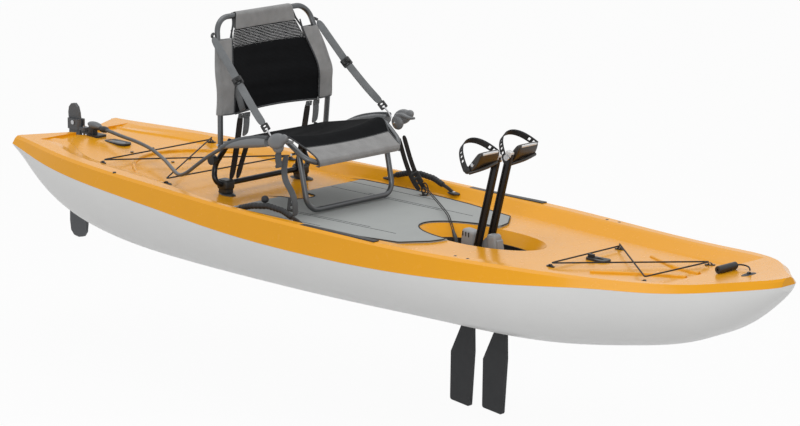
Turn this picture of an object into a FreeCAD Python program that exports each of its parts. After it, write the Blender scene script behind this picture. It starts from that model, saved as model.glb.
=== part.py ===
import FreeCAD, Part
import math
import os

import Sketcher

"""Sit-on-top pedal kayak with a flapping-fin pedal drive, frame seat and stern rudder.

Millimetres. +X points to the bow, +Y to port, +Z up. The origin lies amidships on the centreline,
on the flat of the hull's bottom. Each named document object is one sub-part and one file.
"""

V = FreeCAD.Vector
X_AXIS = V(1, 0, 0)
Y_AXIS = V(0, 1, 0)
Z_AXIS = V(0, 0, 1)
SIDES = (("starboard", -1), ("port", 1))

doc = FreeCAD.newDocument("pedal_boat")
sheet = doc.addObject("Spreadsheet::Sheet", "Dimensions")
parts = []

# ---------------------------------------------------------------- driving dimensions

DIMENSIONS = (
    ("wall", 4, "moulded wall of hull and deck"),
    ("rim_soft", 9, "rounding of the rim's outer edge"),
    ("weld_line", 0.15, "joint between the hull's and the deck's mouldings"),
    ("lip_lap", 6, "reach of a cutting tool past the face it opens"),
    ("notch_apex_x", -1520, "front of the stern notch"),
    ("notch_knee_x", -1580, "where the notch opens out"),
    ("notch_knee_half", 53, "half width of the notch at its knee"),
    ("notch_end_half", 215, "half width of the notch at the tails' tips"),
    ("tail_end_x", -1652, "tips of the two tails"),
    ("well_x", 416, "centre of the drive well"),
    ("well_half_long", 218, "half length of the drive well"),
    ("well_half_wide", 95, "half width of the drive well"),
    ("well_ring_long", 260, "half length of the well's sloped ring at the floor"),
    ("well_ring_wide", 123.5, "half width of the well's sloped ring at the floor"),
    ("well_lip_z", 195, "height of the well's lip"),
    ("well_foot_long", 205, "half length of the well at the bottom"),
    ("well_foot_wide", 84, "half width of the well at the bottom"),
    ("liner_wall", 4, "wall of the well liner"),
    ("floor_z", 235, "height of the cockpit floor"),
    ("mat_thick", 5, "foam mat"),
    ("track_length", 341, "gear track"),
    ("track_width", 17, "gear track"),
    ("track_depth", 11, "gear track"),
    ("track_slot", 7, "mouth of the gear track's slot"),
    ("track_x", 155, "middle of the gear tracks"),
    ("track_y", 407, "middle of the gear tracks"),
    ("insert_radius", 5.5, "threaded insert"),
    ("insert_bore", 3, "threaded insert's hole"),
    ("insert_depth", 14, "threaded insert"),
    ("insert_spacing", 53, "between the two inserts of a pair"),
    ("insert_x", 662, "middle of an insert pair"),
    ("insert_y", 368, "middle of an insert pair"),
    ("seat_tube", 19, "seat tubes, diameter"),
    ("crank_x", 409, "crank axle"),
    ("crank_z", 165, "crank axle"),
    ("crank_length", 355, "crank axle to pedal spindle"),
    ("crank_lean", 15, "cranks lean forward at mid stroke, degrees"),
    ("crank_width", 26, "crank arm, fore and aft"),
    ("crank_thick", 14, "crank arm, across"),
    ("crank_gap", 30, "middle of a crank arm from the centreline"),
    ("crank_hub_radius", 34, "chain drum of a crank"),
    ("pedal_width", 98, "pedal across the foot"),
    ("pedal_length", 116, "pedal along the foot"),
    ("pedal_thick", 20, "pedal body"),
    ("pedal_slope", 49, "pedal's rise towards the toe, degrees"),
    ("spindle_radius", 6, "pedal spindle"),
    ("fin_axis_z", -34, "axis on which the fins sweep"),
    ("front_mast_x", 512, "front fin mast"),
    ("rear_mast_x", 367, "rear fin mast"),
    ("mast_radius", 5, "fin mast"),
    ("fin_thick", 13, "fin at its thickest"),
    ("rudder_pin_x", -1562, "rudder's steering pin"),
    ("rudder_pivot_x", -1602, "rudder blade's kick-up pivot"),
    ("rudder_pivot_z", 340, "rudder blade's kick-up pivot"),
    ("blade_thick", 14, "rudder blade"),
    ("lever_x", -265, "steering lever's pivot"),
    ("lever_y", 290, "steering lever's pivot"),
    ("lever_z", 486, "steering lever's pivot"),
    ("handle", 16, "side handle, diameter"),
    ("bungee", 5, "shock cord, diameter"),
    ("rib", 14, "moulded rib, diameter"),
    ("spine_thick", 28, "drive spine, across"),
    ("axle_radius", 8, "crank axle"),
    ("shaft_radius", 4, "fin shaft"),
    ("running_fit", 0.05, "play between a turning part and its pin"),
)

# Table of offsets: station, keel height, flat half, seam half, seam height, rim half, rim height.
STATIONS = (
    (-1656, 206, 100, 262, 288, 246, 314),
    (-1450, 94, 150, 318, 262, 296, 307),
    (-1150, 22, 175, 380, 240, 356, 298),
    (-750, -2, 195, 423, 220, 396, 288),
    (-350, -2, 215, 452, 198, 426, 279),
    (50, -2, 215, 457, 188, 430, 272),
    (500, -2, 190, 443, 196, 414, 268),
    (900, -2, 145, 391, 222, 360, 269),
    (1200, 32, 90, 343, 252, 315, 277),
    (1380, 71, 54, 302, 263, 275, 286),
    (1460, 106, 40, 259, 268, 233, 290),
    (1550, 163, 24, 170, 273, 145, 296),
    (1625, 222, 14, 92, 279, 70, 303),
    (1672, 268, 6, 34, 285, 20, 311),
)

# Recess of the deck: station, half width at the rim, half width at the floor, floor height.
RECESS = (
    (-1560, 210, 150, 302),
    (-1350, 262, 205, 290),
    (-1050, 312, 250, 276),
    (-700, 348, 290, 256),
    (-420, 392, 360, 237),
    (-100, 394, 356, 235),
    (250, 384, 328, 235),
    (600, 358, 296, 234),
    (950, 312, 250, 238),
    (1200, 272, 205, 247),
    (1395, 232, 150, 258),
)


def write_sheet():
    """Put the driving dimensions and the table of offsets into the spreadsheet."""
    rows = list(DIMENSIONS)
    names = ("x", "keel", "flat", "seam", "seam_z", "rim", "rim_z")
    for number, station in enumerate(STATIONS):
        rows += [(f"hull{number}_{name}", value, "offset") for name, value in zip(names, station)]
    names = ("x", "rim", "floor", "floor_z")
    for number, station in enumerate(RECESS):
        rows += [(f"recess{number}_{name}", value, "offset") for name, value in zip(names, station)]
    for line, (alias, value, note) in enumerate(rows, start=1):
        sheet.set(f"A{line}", note)
        sheet.set(f"B{line}", str(value))
        sheet.setAlias(f"B{line}", alias)
    doc.recompute()


def d(alias):
    """The value of one driving dimension."""
    return float(sheet.get(alias))


def bind(obj, **expressions):
    """Tie properties of an object to cells; a word that is a cell's alias is looked up there."""
    for name, expression in expressions.items():
        obj.setExpression(name.replace("__", "."), linked(expression))


def linked(expression):
    """The expression with each alias in it written as a reference to the sheet."""
    words = expression.replace("(", " ( ").replace(")", " ) ").split()
    return " ".join(f"Dimensions.{w}" if sheet.getCellFromAlias(w) else w for w in words)


def value_of(expression):
    """The number that an expression stands for now."""
    if isinstance(expression, (int, float)):
        return float(expression)
    return float(sheet.evalExpression(linked(expression)))


# ---------------------------------------------------------------- building helpers

def new_body(label):
    body = doc.addObject("PartDesign::Body", label)
    body.Label = label
    return body


def plane(body, role):
    return next(f for f in body.Origin.OriginFeatures if f.Role == role)


def new_sketch(body, name, role, offset=0):
    """An empty sketch on one of the body's own origin planes, lifted by offset along its normal."""
    sketch = body.newObject("Sketcher::SketchObject", name)
    sketch.AttachmentSupport = [(plane(body, role), "")]
    sketch.MapMode = "FlatFace"
    if isinstance(offset, str):
        bind(sketch, AttachmentOffset__Base__z=offset)
    else:
        sketch.AttachmentOffset = FreeCAD.Placement(V(0, 0, offset), FreeCAD.Rotation())
    return sketch


def pin_point(sketch, geo, pos, point):
    """Fix one vertex by its two coordinates; text coordinates are bound to the sheet."""
    for kind, coordinate in zip(("DistanceX", "DistanceY"), point):
        index = sketch.addConstraint(
            Sketcher.Constraint(kind, -1, 1, geo, pos, value_of(coordinate)))
        if isinstance(coordinate, str):
            sketch.setExpression(f"Constraints[{index}]", linked(coordinate))


def polygon(body, name, role, points, offset=0):
    """A closed sketch of straight lines through the points."""
    sketch = new_sketch(body, name, role, offset)
    close_polygon(sketch, points)
    return sketch


def close_polygon(sketch, points):
    """Straight lines through the points, each corner fixed where its two values put it."""
    flat = [V(value_of(a), value_of(b), 0) for a, b in points]
    count = len(flat)
    for i in range(count):
        sketch.addGeometry(Part.LineSegment(flat[i], flat[(i + 1) % count]), False)
    for i in range(count):
        sketch.addConstraint(Sketcher.Constraint("Coincident", i, 2, (i + 1) % count, 1))
        pin_point(sketch, i, 1, points[i])


def circle(body, name, role, centre, radius, offset=0):
    sketch = new_sketch(body, name, role, offset)
    at = V(value_of(centre[0]), value_of(centre[1]), 0)
    sketch.addGeometry(Part.Circle(at, Z_AXIS, value_of(radius)), False)
    pin_point(sketch, 0, 3, centre)
    index = sketch.addConstraint(Sketcher.Constraint("Radius", 0, value_of(radius)))
    if isinstance(radius, str):
        sketch.setExpression(f"Constraints[{index}]", linked(radius))
    return sketch


def ellipse(body, name, centre, long_half, wide_half, offset):
    """A horizontal ellipse whose long axis lies fore and aft."""
    sketch = new_sketch(body, name, "XY_Plane", offset)
    at = V(value_of(centre), 0, 0)
    sketch.addGeometry(Part.Ellipse(at, value_of(long_half), value_of(wide_half)), False)
    return sketch


def pad(body, name, sketch, length, middle=False):
    """A pad; text lengths are bound to the sheet."""
    feature = body.newObject("PartDesign::Pad", name)
    feature.Profile = sketch
    if middle:
        feature.SideType = "Symmetric"
    if isinstance(length, str):
        bind(feature, Length=length)
    else:
        feature.Length = length
    doc.recompute()
    return feature


def pocket(body, name, sketch, length, reverse=False, middle=False):
    before = body.Tip.Shape.Volume
    feature = body.newObject("PartDesign::Pocket", name)
    feature.Profile = sketch
    feature.Reversed = reverse
    if middle:
        feature.SideType = "Symmetric"
    if isinstance(length, str):
        bind(feature, Length=length)
    else:
        feature.Length = length
    doc.recompute()
    if feature.Shape.Volume > before - 1:
        print("pocket cuts nothing:", body.Label, name)
    return feature


def round_edges(body, name, radius, chosen, kind="Fillet"):
    """Fillet or chamfer the edges of the tip that the test picks."""
    base = body.Tip
    edges = [f"Edge{i}" for i, e in enumerate(base.Shape.Edges, start=1) if chosen(e)]
    feature = body.newObject(f"PartDesign::{kind}", name)
    feature.Base = (base, edges)
    if kind == "Fillet":
        feature.Radius = radius
    else:
        feature.Size = radius
    doc.recompute()
    return feature


def along(axis):
    """A test for straight edges that run along the axis."""
    def test(edge):
        if edge.Curve.TypeId != "Part::GeomLine":
            return False
        return abs(edge.Curve.Direction.dot(axis)) > 0.999
    return test


def shape_part(label, shape):
    """A sub-part whose shape comes from Part's own functions."""
    feature = doc.addObject("Part::Feature", label)
    feature.Label = label
    feature.Shape = shape
    return feature


def route_wire(points, radii):
    """Straight runs joined by tangent arcs: the path of a bent tube or a cord."""
    points = [V(*p) for p in points]
    edges = []
    start = points[0]
    for i in range(1, len(points) - 1):
        back = (points[i - 1] - points[i]).normalize()
        ahead = (points[i + 1] - points[i]).normalize()
        half = back.getAngle(ahead) / 2
        reach = radii[i - 1] / math.tan(half)
        first = points[i] + back * reach
        last = points[i] + ahead * reach
        middle = (back + ahead).normalize()
        crown = points[i] + middle * (radii[i - 1] / math.sin(half) - radii[i - 1])
        edges.append(Part.LineSegment(start, first).toShape())
        edges.append(Part.Arc(first, crown, last).toShape())
        start = last
    edges.append(Part.LineSegment(start, points[-1]).toShape())
    return Part.Wire(edges)


def tube(points, radii, diameter):
    """A round bar swept along a route."""
    path = route_wire(points, radii)
    start = V(*points[0])
    direction = V(*points[1]) - start
    ring = Part.Wire(Part.Circle(start, direction, diameter / 2).toShape())
    return path.makePipeShell([ring], True, False)


def largest_radii(points, share=0.45):
    """Arc radii that are as large as each pair of runs allows."""
    points = [V(*p) for p in points]
    radii = []
    for i in range(1, len(points) - 1):
        back = points[i - 1] - points[i]
        ahead = points[i + 1] - points[i]
        turn = math.pi - back.getAngle(ahead)
        radii.append(share * min(back.Length, ahead.Length) / math.tan(turn / 2))
    return radii


def mirrored(points):
    return [(x, -y, z) for x, y, z in points]


def box(low, high):
    size = V(*high) - V(*low)
    return Part.makeBox(size.x, size.y, size.z, V(*low))


def bar(start, end, radius):
    """A round bar between two points."""
    axis = V(*end) - V(*start)
    return Part.makeCylinder(radius, axis.Length, V(*start), axis)


# ---------------------------------------------------------------- hull and deck

ACROSS = FreeCAD.Rotation(Y_AXIS, Z_AXIS, X_AXIS, "ZXY")


def station_sketch(name, x):
    """A free sketch that stands across the boat at x: its own x is +Y and its own y is +Z."""
    sketch = doc.addObject("Sketcher::SketchObject", name)
    sketch.Placement = FreeCAD.Placement(V(value_of(x), 0, 0), ACROSS)
    if isinstance(x, str):
        bind(sketch, Placement__Base__x=x)
    return sketch


def bilge_section(name, x, keel, flat, side, top):
    """Hull section: flat bottom, tangent bilge arcs, and a straight line across the top."""
    sketch = station_sketch(name, x)
    k, f, s, t = (value_of(v) for v in (keel, flat, side, top))
    radius = ((s - f) ** 2 + (t - k) ** 2) / (2 * (t - k))
    turn = math.atan2(s - f, radius - (t - k))
    my = f + radius * math.sin(turn / 2)
    mz = k + radius * (1 - math.cos(turn / 2))
    corners = [(f"0 - ({flat})", keel), (flat, keel), (side, top), (f"0 - ({side})", top)]
    at = [V(value_of(a), value_of(b), 0) for a, b in corners]
    sketch.addGeometry(Part.LineSegment(at[0], at[1]), False)
    sketch.addGeometry(Part.Arc(at[1], V(my, mz, 0), at[2]), False)
    sketch.addGeometry(Part.LineSegment(at[2], at[3]), False)
    sketch.addGeometry(Part.Arc(at[3], V(-my, mz, 0), at[0]), False)
    return sketch


def straight_section(name, x, corners):
    """A section of straight lines whose corners are tied to the sheet."""
    sketch = station_sketch(name, x)
    close_polygon(sketch, corners)
    return sketch


def part_loft(name, sketches, ruled=False):
    feature = doc.addObject("Part::Loft", name)
    feature.Sections = sketches
    feature.Solid = True
    feature.Ruled = ruled
    doc.recompute()
    return feature


def prism(name, points, low, high):
    """An upright block on a plan outline."""
    face = Part.Face(Part.makePolygon([V(x, y, low) for x, y in points + points[:1]]))
    feature = doc.addObject("Part::Feature", name)
    feature.Shape = face.extrude(V(0, 0, high - low))
    return feature


def ellipse_cone(name, grow, top, bottom, long_top, wide_top, long_foot, wide_foot):
    """An upright elliptical cone frustum on the well's centre."""
    rings = []
    for z, long_half, wide_half in ((top, long_top, wide_top), (bottom, long_foot, wide_foot)):
        curve = Part.Ellipse(V(d("well_x"), 0, z), d(long_half) + grow, d(wide_half) + grow)
        rings.append(Part.Wire(curve.toShape()))
    feature = doc.addObject("Part::Feature", name)
    feature.Shape = Part.makeLoft(rings, True, True)
    return feature


def fuse(name, *tools):
    feature = doc.addObject("Part::MultiFuse", name)
    feature.Shapes = list(tools)
    doc.recompute()
    return feature


def cut(name, base, *tools):
    """The base less each tool in turn; the last stage takes the name."""
    stage = base
    for count, tool in enumerate(tools, start=1):
        feature = doc.addObject("Part::Cut", name if count == len(tools) else f"{name}_{count}")
        feature.Base = stage
        feature.Tool = tool
        doc.recompute()
        if feature.Shape.isNull():
            raise RuntimeError(f"{name}: tool {tool.Label} leaves no shape")
        if feature.Shape.Volume > stage.Shape.Volume - 1:
            print("cut takes nothing:", name, tool.Label)
        stage = feature
    return stage


def hull_cells(number):
    names = ("x", "keel", "flat", "seam", "seam_z", "rim", "rim_z")
    return {name: f"hull{number}_{name}" for name in names}


def end_shift(number):
    """How far an inner section stands inside the shell's own end, and what it loses there."""
    if number == 0:
        return "+ wall", 0
    if number == len(STATIONS) - 1:
        return "- 3 * wall", 4
    return "+ 0", 0


def notch_points(grow=0):
    """Plan of the stern notch, open to the aft."""
    apex = d("notch_apex_x") + grow
    knee_x = d("notch_knee_x") + grow
    knee = d("notch_knee_half") + grow
    end = d("notch_end_half") + grow
    aft = d("tail_end_x") - 60
    tip = d("tail_end_x") + grow
    return [(apex, -14), (apex, 14), (knee_x, knee), (tip, end), (aft, end),
            (aft, -end), (tip, -end), (knee_x, -knee)]


def build_hull_shell():
    """Lower half of the hull, open at the seam; its bottom amidships is a true flat."""
    outer = []
    inner = []
    for number in range(len(STATIONS)):
        h = hull_cells(number)
        outer.append(bilge_section(f"hull_outer_{number}", h["x"], h["keel"], h["flat"],
                                   h["seam"], h["seam_z"]))
        shift, loss = end_shift(number)
        inner.append(bilge_section(
            f"hull_inner_{number}", f"{h['x']} {shift}", f"{h['keel']} + wall + 3 + {loss}",
            f"{h['flat']} - {loss}", f"{h['seam']} - wall - 2 * {loss}",
            f"{h['seam_z']} + lip_lap"))
    outer = part_loft("hull_outer", outer)
    wall = d("wall")
    keep = prism("hull_notch_wall", notch_points(wall), -50, 400)
    well_wall = ellipse_cone("hull_well_wall", 3 * wall, 60, -30, "well_foot_long",
                             "well_foot_wide", "well_foot_long", "well_foot_wide")
    hollow = cut("hull_hollow", part_loft("hull_inner", inner), keep, well_wall)
    below = shape_part("hull_below_flat", box((-1700, -500, -80), (1700, 500, 0)))
    notch = prism("hull_notch", notch_points(), -50, 400)
    hole = ellipse_cone("hull_well_hole", 0, d("well_lip_z"), 0, "well_half_long",
                        "well_half_wide", "well_foot_long", "well_foot_wide")
    parts.append(cut("hull_shell", outer, hollow, below, notch, hole))


def interpolate(x, pairs):
    """Straight interpolation between the pairs of a table."""
    for (x0, y0), (x1, y1) in zip(pairs, pairs[1:]):
        if x0 <= x <= x1:
            return y0 + (y1 - y0) * (x - x0) / (x1 - x0)
    return pairs[0][1] if x < pairs[0][0] else pairs[-1][1]


def rim_height(x):
    return interpolate(x, [(s[0], s[6]) for s in STATIONS])


def recess_at(x):
    """Half width at the rim, half width at the floor and floor height of the deck's recess."""
    return [interpolate(x, [(s[0], s[i]) for s in RECESS]) for i in (1, 2, 3)]


def recess_section(number):
    """Trapezium of the recess, carried a little above the rim along its own slope."""
    x, rim, floor, floor_z = RECESS[number]
    above = 6
    top = rim_height(x)
    out = rim + above * (rim - floor) / (top - floor_z)
    cells = f"recess{number}"
    out += above
    ease = 5
    corner = rim - ease * (rim - floor) / (top - floor_z)
    half = [(f"{cells}_floor - {ease}", f"{cells}_floor_z"),
            (f"{cells}_floor + {ease}", f"{cells}_floor_z + {ease}"),
            (corner, top - ease), (rim + ease, top), (out + ease, top + above)]
    other = [(f"0 - ({y})", z) for y, z in reversed(half)]
    return straight_section(f"recess_{number}", f"{cells}_x", half + other)


def tray_section(number):
    """The recess's outline grown by the wall: the skin that carries the recess."""
    x, rim, floor, floor_z = RECESS[number]
    wall = d("wall")
    last = number == len(RECESS) - 1
    shift = wall if last else -wall if number == 0 else 0
    low = f"recess{number}_floor_z - wall"
    top = rim_height(x) - 0.5 * wall
    return straight_section(f"tray_{number}", f"recess{number}_x + {shift}", [
        (f"0 - recess{number}_floor - wall", low), (f"recess{number}_floor + wall", low),
        (rim + 1.3 * wall, top), (-rim - 1.3 * wall, top)])


def deck_hollow_section(number):
    """Space under the deck's top skin, from below the seam."""
    wall = d("wall")
    x, _, _, seam, seam_z, rim, rim_z = STATIONS[number]
    shift, loss = end_shift(number)
    low = min(seam_z - 8, recess_at(x)[2] - 2 * wall) if x > 800 else seam_z - 8
    side = seam - wall - 2 * loss
    top = rim - 1.2 * wall - 2 * loss
    return straight_section(f"deck_hollow_{number}", f"hull{number}_x {shift}", [
        (-side, low), (side, low), (top, rim_z - wall), (-top, rim_z - wall)])


RIBS = (
    ("stern_rib", ((-830, -300), (-1010, -248), (-1140, -140), (-1192, 0), (-1140, 140),
                   (-1010, 248), (-830, 300))),
    ("bow_rib_port", ((1010, 150), (1180, 60), (1300, 32))),
    ("bow_rib_starboard", ((1010, -150), (1180, -60), (1300, -32))),
)


def moulded_rib(name, points):
    """A half-round stiffening rib that stands out of the recess floor."""
    route = [(x, y, recess_at(x)[2] - 1) for x, y in points]
    return shape_part(name, tube(route, largest_radii(route), d("rib")))


def build_deck_shell():
    """Upper half: rim, dished deck, sloped well ring and the rim's cut-outs."""
    outer = []
    for number in range(len(STATIONS)):
        h = hull_cells(number)
        outer.append(straight_section(f"deck_outer_{number}", h["x"], [
            (f"0 - {h['seam']}", f"{h['seam_z']} + weld_line"),
            (h["seam"], f"{h['seam_z']} + weld_line"),
            (f"{h['rim']} + rim_soft * 0.35", f"{h['rim_z']} - rim_soft * 0.9"),
            (f"{h['rim']} - rim_soft", h["rim_z"]), (f"0 - {h['rim']} + rim_soft", h["rim_z"]),
            (f"0 - {h['rim']} - rim_soft * 0.35", f"{h['rim_z']} - rim_soft * 0.9")]))
    hollow = [deck_hollow_section(number) for number in range(len(STATIONS) - 1)]
    wall = d("wall")
    keep = prism("deck_notch_wall", notch_points(wall), 100, 400)
    ring = ellipse_cone("deck_ring_wall", wall, d("floor_z") - 1, d("well_lip_z"),
                        "well_ring_long", "well_ring_wide", "well_half_long", "well_half_wide")
    outer = part_loft("deck_outer", outer)
    tray = part_loft("deck_tray", [tray_section(n) for n in range(len(RECESS))])
    hollow = cut("deck_hollow", part_loft("deck_inner", hollow), keep, tray)
    recess = part_loft("deck_recess", [recess_section(n) for n in range(len(RECESS))])
    notch = prism("deck_notch", notch_points(), 100, 400)
    skin = cut("deck_skin", outer, hollow)
    dished = cut("deck_dished", fuse("deck_skin_and_tray", skin, tray), recess, notch)
    dished = fuse("deck_with_ring", dished, ring)
    hole = ellipse_cone("deck_well_hole", 0, d("floor_z"), d("well_lip_z"),
                        "well_ring_long", "well_ring_wide", "well_half_long", "well_half_wide")
    over = ellipse_cone("deck_well_over", 0, d("floor_z") + 9, d("floor_z"),
                        "well_ring_long", "well_ring_wide", "well_ring_long", "well_ring_wide")
    whole = cut("deck_opened", dished, hole, over)
    ribs = [moulded_rib(name, points) for name, points in RIBS]
    parts.append(fuse("deck_shell", whole, *ribs))


# ---------------------------------------------------------------- deck fittings

def smooth_prism(corners, low, high, radius):
    """An upright block on a plan polygon whose corners are all rounded."""
    path = route_wire_closed([V(x, y, low) for x, y in corners], radius)
    return Part.Face(path).extrude(V(0, 0, high - low))


def route_wire_closed(points, radius):
    """A closed outline of straight runs joined by arcs of one radius."""
    edges = []
    count = len(points)
    ends = []
    for i in range(count):
        back = (points[i - 1] - points[i]).normalize()
        ahead = (points[(i + 1) % count] - points[i]).normalize()
        half = back.getAngle(ahead) / 2
        reach = radius / math.tan(half)
        crown = points[i] + (back + ahead).normalize() * (radius / math.sin(half) - radius)
        ends.append((points[i] + back * reach, crown, points[i] + ahead * reach))
    for i in range(count):
        first, crown, last = ends[i]
        edges.append(Part.Arc(first, crown, last).toShape())
        edges.append(Part.LineSegment(last, ends[(i + 1) % count][0]).toShape())
    return Part.Wire(edges)


def find(label):
    return next(part for part in parts if part.Label == label)


def replace_part(label, feature):
    """Swap a sub-part for a later stage of itself and keep its name."""
    old = find(label)
    old.Label = f"{label}_before"
    feature.Label = label
    parts[parts.index(old)] = feature


def build_well_liner():
    """Black tub that closes the well between the deck and the hull's bottom."""
    gap = 0.3
    outer = ellipse_cone("liner_outer", -gap, d("well_lip_z"), 1, "well_half_long",
                         "well_half_wide", "well_foot_long", "well_foot_wide")
    inner = ellipse_cone("liner_inner", -gap - d("liner_wall"), d("well_lip_z") + 1, 0,
                         "well_half_long", "well_half_wide", "well_foot_long", "well_foot_wide")
    parts.append(cut("well_liner", outer, inner))


def build_mat():
    """Foam mat on the cockpit floor, cut round the drive well and the rear bay."""
    half = [(-392, 22), (-410, 45), (-470, 52), (-522, 98), (-540, 160), (-530, 310), (-470, 346),
            (-230, 348), (60, 316), (292, 272), (356, 190), (392, 60)]
    outline = half + [(x, -y) for x, y in reversed(half)]
    top = d("floor_z") + d("mat_thick")
    block = shape_part("mat_block", smooth_prism(outline, d("floor_z") - 2, top, 9))
    ring = ellipse_cone("mat_ring", 4, top + 1, top - 10, "well_ring_long", "well_ring_wide",
                        "well_ring_long", "well_ring_wide")
    rough = cut("mat_rough", block, ring, find("deck_shell"))
    whole = max(rough.Shape.Solids, key=lambda solid: solid.Volume)
    for x, y in ((-145, 313), (-145, -313)):
        whole = whole.cut(Part.makeCylinder(20, 20, V(x, y, d("floor_z") - 5)))
    parts.append(shape_part("cockpit_mat", whole))


def build_gear_tracks():
    """Slotted accessory tracks let into both rims, and the cut-outs they sit in."""
    long = d("track_length")
    wide = d("track_width")
    deep = d("track_depth")
    bodies = []
    cuts = []
    for side, sign in SIDES:
        level = 270
        at = FreeCAD.Placement(V(d("track_x"), sign * d("track_y"), level),
                               FreeCAD.Rotation(Z_AXIS, -sign * 1.5))
        solid = box((-long / 2, -wide / 2, -deep), (long / 2, wide / 2, 0))
        slot = box((-long / 2 + 6, -d("track_slot") / 2, -7), (long / 2 - 6, d("track_slot") / 2, 1))
        undercut = box((-long / 2 + 6, -6, -7), (long / 2 - 6, 6, -4))
        cuts.append(solid.copy())
        solid = solid.cut(slot).cut(undercut)
        solid.Placement = at
        cuts[-1] = box((-long / 2, -wide / 2, -deep), (long / 2, wide / 2, 20))
        cuts[-1].Placement = at
        bodies.append(solid)
    parts.append(shape_part("gear_tracks", Part.makeCompound(bodies)))
    return Part.makeCompound(cuts)


def build_threaded_inserts():
    """Two threaded inserts in each rim, ahead of the tracks."""
    deep = d("insert_depth")
    bodies = []
    cuts = []
    for _, sign in SIDES:
        for step in (-0.5, 0.5):
            top = V(d("insert_x") + step * d("insert_spacing"), sign * d("insert_y"), 268)
            solid = Part.makeCylinder(d("insert_radius"), deep, top - Z_AXIS * deep)
            bore = Part.makeCylinder(d("insert_bore"), deep, top - Z_AXIS * (deep - 2))
            bodies.append(solid.cut(bore))
            cuts.append(Part.makeCylinder(d("insert_radius"), deep + 20, top - Z_AXIS * deep))
    parts.append(shape_part("threaded_inserts", Part.makeCompound(bodies)))
    return Part.makeCompound(cuts)


def seat_rim_fittings():
    """Cut the deck for the tracks and inserts."""
    tools = shape_part("rim_cuts", Part.makeCompound([build_gear_tracks(),
                                                      build_threaded_inserts()]))
    replace_part("deck_shell", cut("deck_cut", find("deck_shell"), tools))


def deck_level(x, y):
    """Height of the deck's top skin under a point."""
    probe = Part.makeLine(V(x, y, 150), V(x, y, 400))
    hit = find("deck_shell").Shape.common(probe)
    return hit.BoundBox.ZMax if hit.Edges else d("floor_z")


def seated(solid):
    """Trim whatever a fitting would sink into the deck, so that its foot takes the deck's form."""
    trimmed = solid.cut(find("deck_shell").Shape)
    return max(trimmed.Solids, key=lambda piece: piece.Volume)


def pad_eye(x, y, heading=0, length=34, width=13, high=9):
    """A small black deck loop: an oval base with a bridge over a cross hole."""
    level = deck_level(x, y)
    base = smooth_prism([(-length / 2, -width / 2), (length / 2, -width / 2),
                         (length / 2, width / 2), (-length / 2, width / 2)], -1.5, 3, width * 0.45)
    bridge = Part.makeCylinder(high, width * 0.55, V(0, width * 0.275, 0), V(0, -1, 0), 360)
    bridge = bridge.common(box((-20, -20, 0), (20, 20, 20)))
    hole = Part.makeCylinder(3.2, width * 2, V(0, width, 4.6), V(0, -1, 0))
    solid = base.fuse(bridge).cut(hole)
    solid.Placement = FreeCAD.Placement(V(x, y, level), FreeCAD.Rotation(Z_AXIS, heading))
    return seated(solid)


PAD_EYES = (
    (-1161, 262, 20), (-1161, -262, -20), (-790, 300, -10), (-790, -300, 10),
    (860, 168, 10), (860, -168, -10), (1240, 160, 30), (1240, -160, -30), (1520, 0, 90),
    (-145, 313, 0), (-145, -313, 0),
)


def build_pad_eyes():
    eyes = [pad_eye(x, y, heading) for x, y, heading in PAD_EYES]
    parts.append(shape_part("pad_eyes", Part.makeCompound(eyes)))


def build_bungees():
    """Shock cords: each a closed loop of two edges and two crossing diagonals."""
    size = d("bungee")
    for label, aft, fore in (("stern_bungee", (-1161, 262), (-790, 300)),
                             ("bow_bungee", (860, 168), (1240, 160))):
        corners = [(*aft, 12), (aft[0], -aft[1], 12), (*fore, 12), (fore[0], -fore[1], 18)]
        points = [V(x, y, deck_level(x, y) + rise) for x, y, rise in corners]
        points.append(points[0] + Z_AXIS * 6)
        loop = bar(points[0], points[1], size / 2)
        for start, end in zip(points[1:], points[2:]):
            loop = loop.fuse(Part.makeSphere(size / 2, start)).fuse(bar(start, end, size / 2))
        parts.append(shape_part(label, loop))


def build_bungee_hook():
    """Flat oval hook on the centreline of the bow deck."""
    level = deck_level(890, 0)
    outline = smooth_prism([(870, -17), (955, -24), (955, 24), (870, 17)], level - 2, level + 7, 15)
    slot = smooth_prism([(900, -7), (935, -7), (935, 7), (900, 7)], level - 3, level + 8, 5)
    horn = box((874, -5, level + 3), (896, 5, level + 17))
    hook = seated(outline.cut(slot).fuse(horn))
    parts.append(shape_part("bungee_hook", hook))


def build_bow_handle():
    """Carrying toggle on a short cord at the bow."""
    start = (1433, 44, 301)
    end = (1433, -44, 301)
    grip = bar(start, end, 12).cut(bar((1433, 50, 301), (1433, -50, 301), 3.5))
    grip = grip.makeFillet(2.5, [e for e in grip.Edges if e.Closed and e.BoundBox.XLength > 20])
    parts.append(shape_part("bow_toggle", grip))
    cord = [(1433, 60, 301), (1455, 63, 302), (1492, 40, 305), (1519, 6, 307)]
    cord = [(1433, 46, 301)] + cord
    solid = tube(cord, largest_radii(cord), 5)
    parts.append(shape_part("bow_handle_cord", solid))


def build_side_handles():
    """Webbing carry handles with a ribbed grip on both sides of the seat."""
    bodies = []
    for _, sign in SIDES:
        route = [(-385, 384, 250), (-340, 378, 276), (-215, 366, 294), (-100, 364, 276),
                 (-52, 362, 250)]
        route = [(x, sign * y, z) for x, y, z in route]
        solid = tube(route, largest_radii(route), d("handle"))
        for x, y, z in (route[0], route[-1]):
            foot = Part.makeCylinder(13, 9, V(x, y, deck_level(x, y) - 3))
            solid = solid.fuse(foot)
        bodies.append(seated(solid))
    parts.append(shape_part("side_handles", Part.makeCompound(bodies)))


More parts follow.
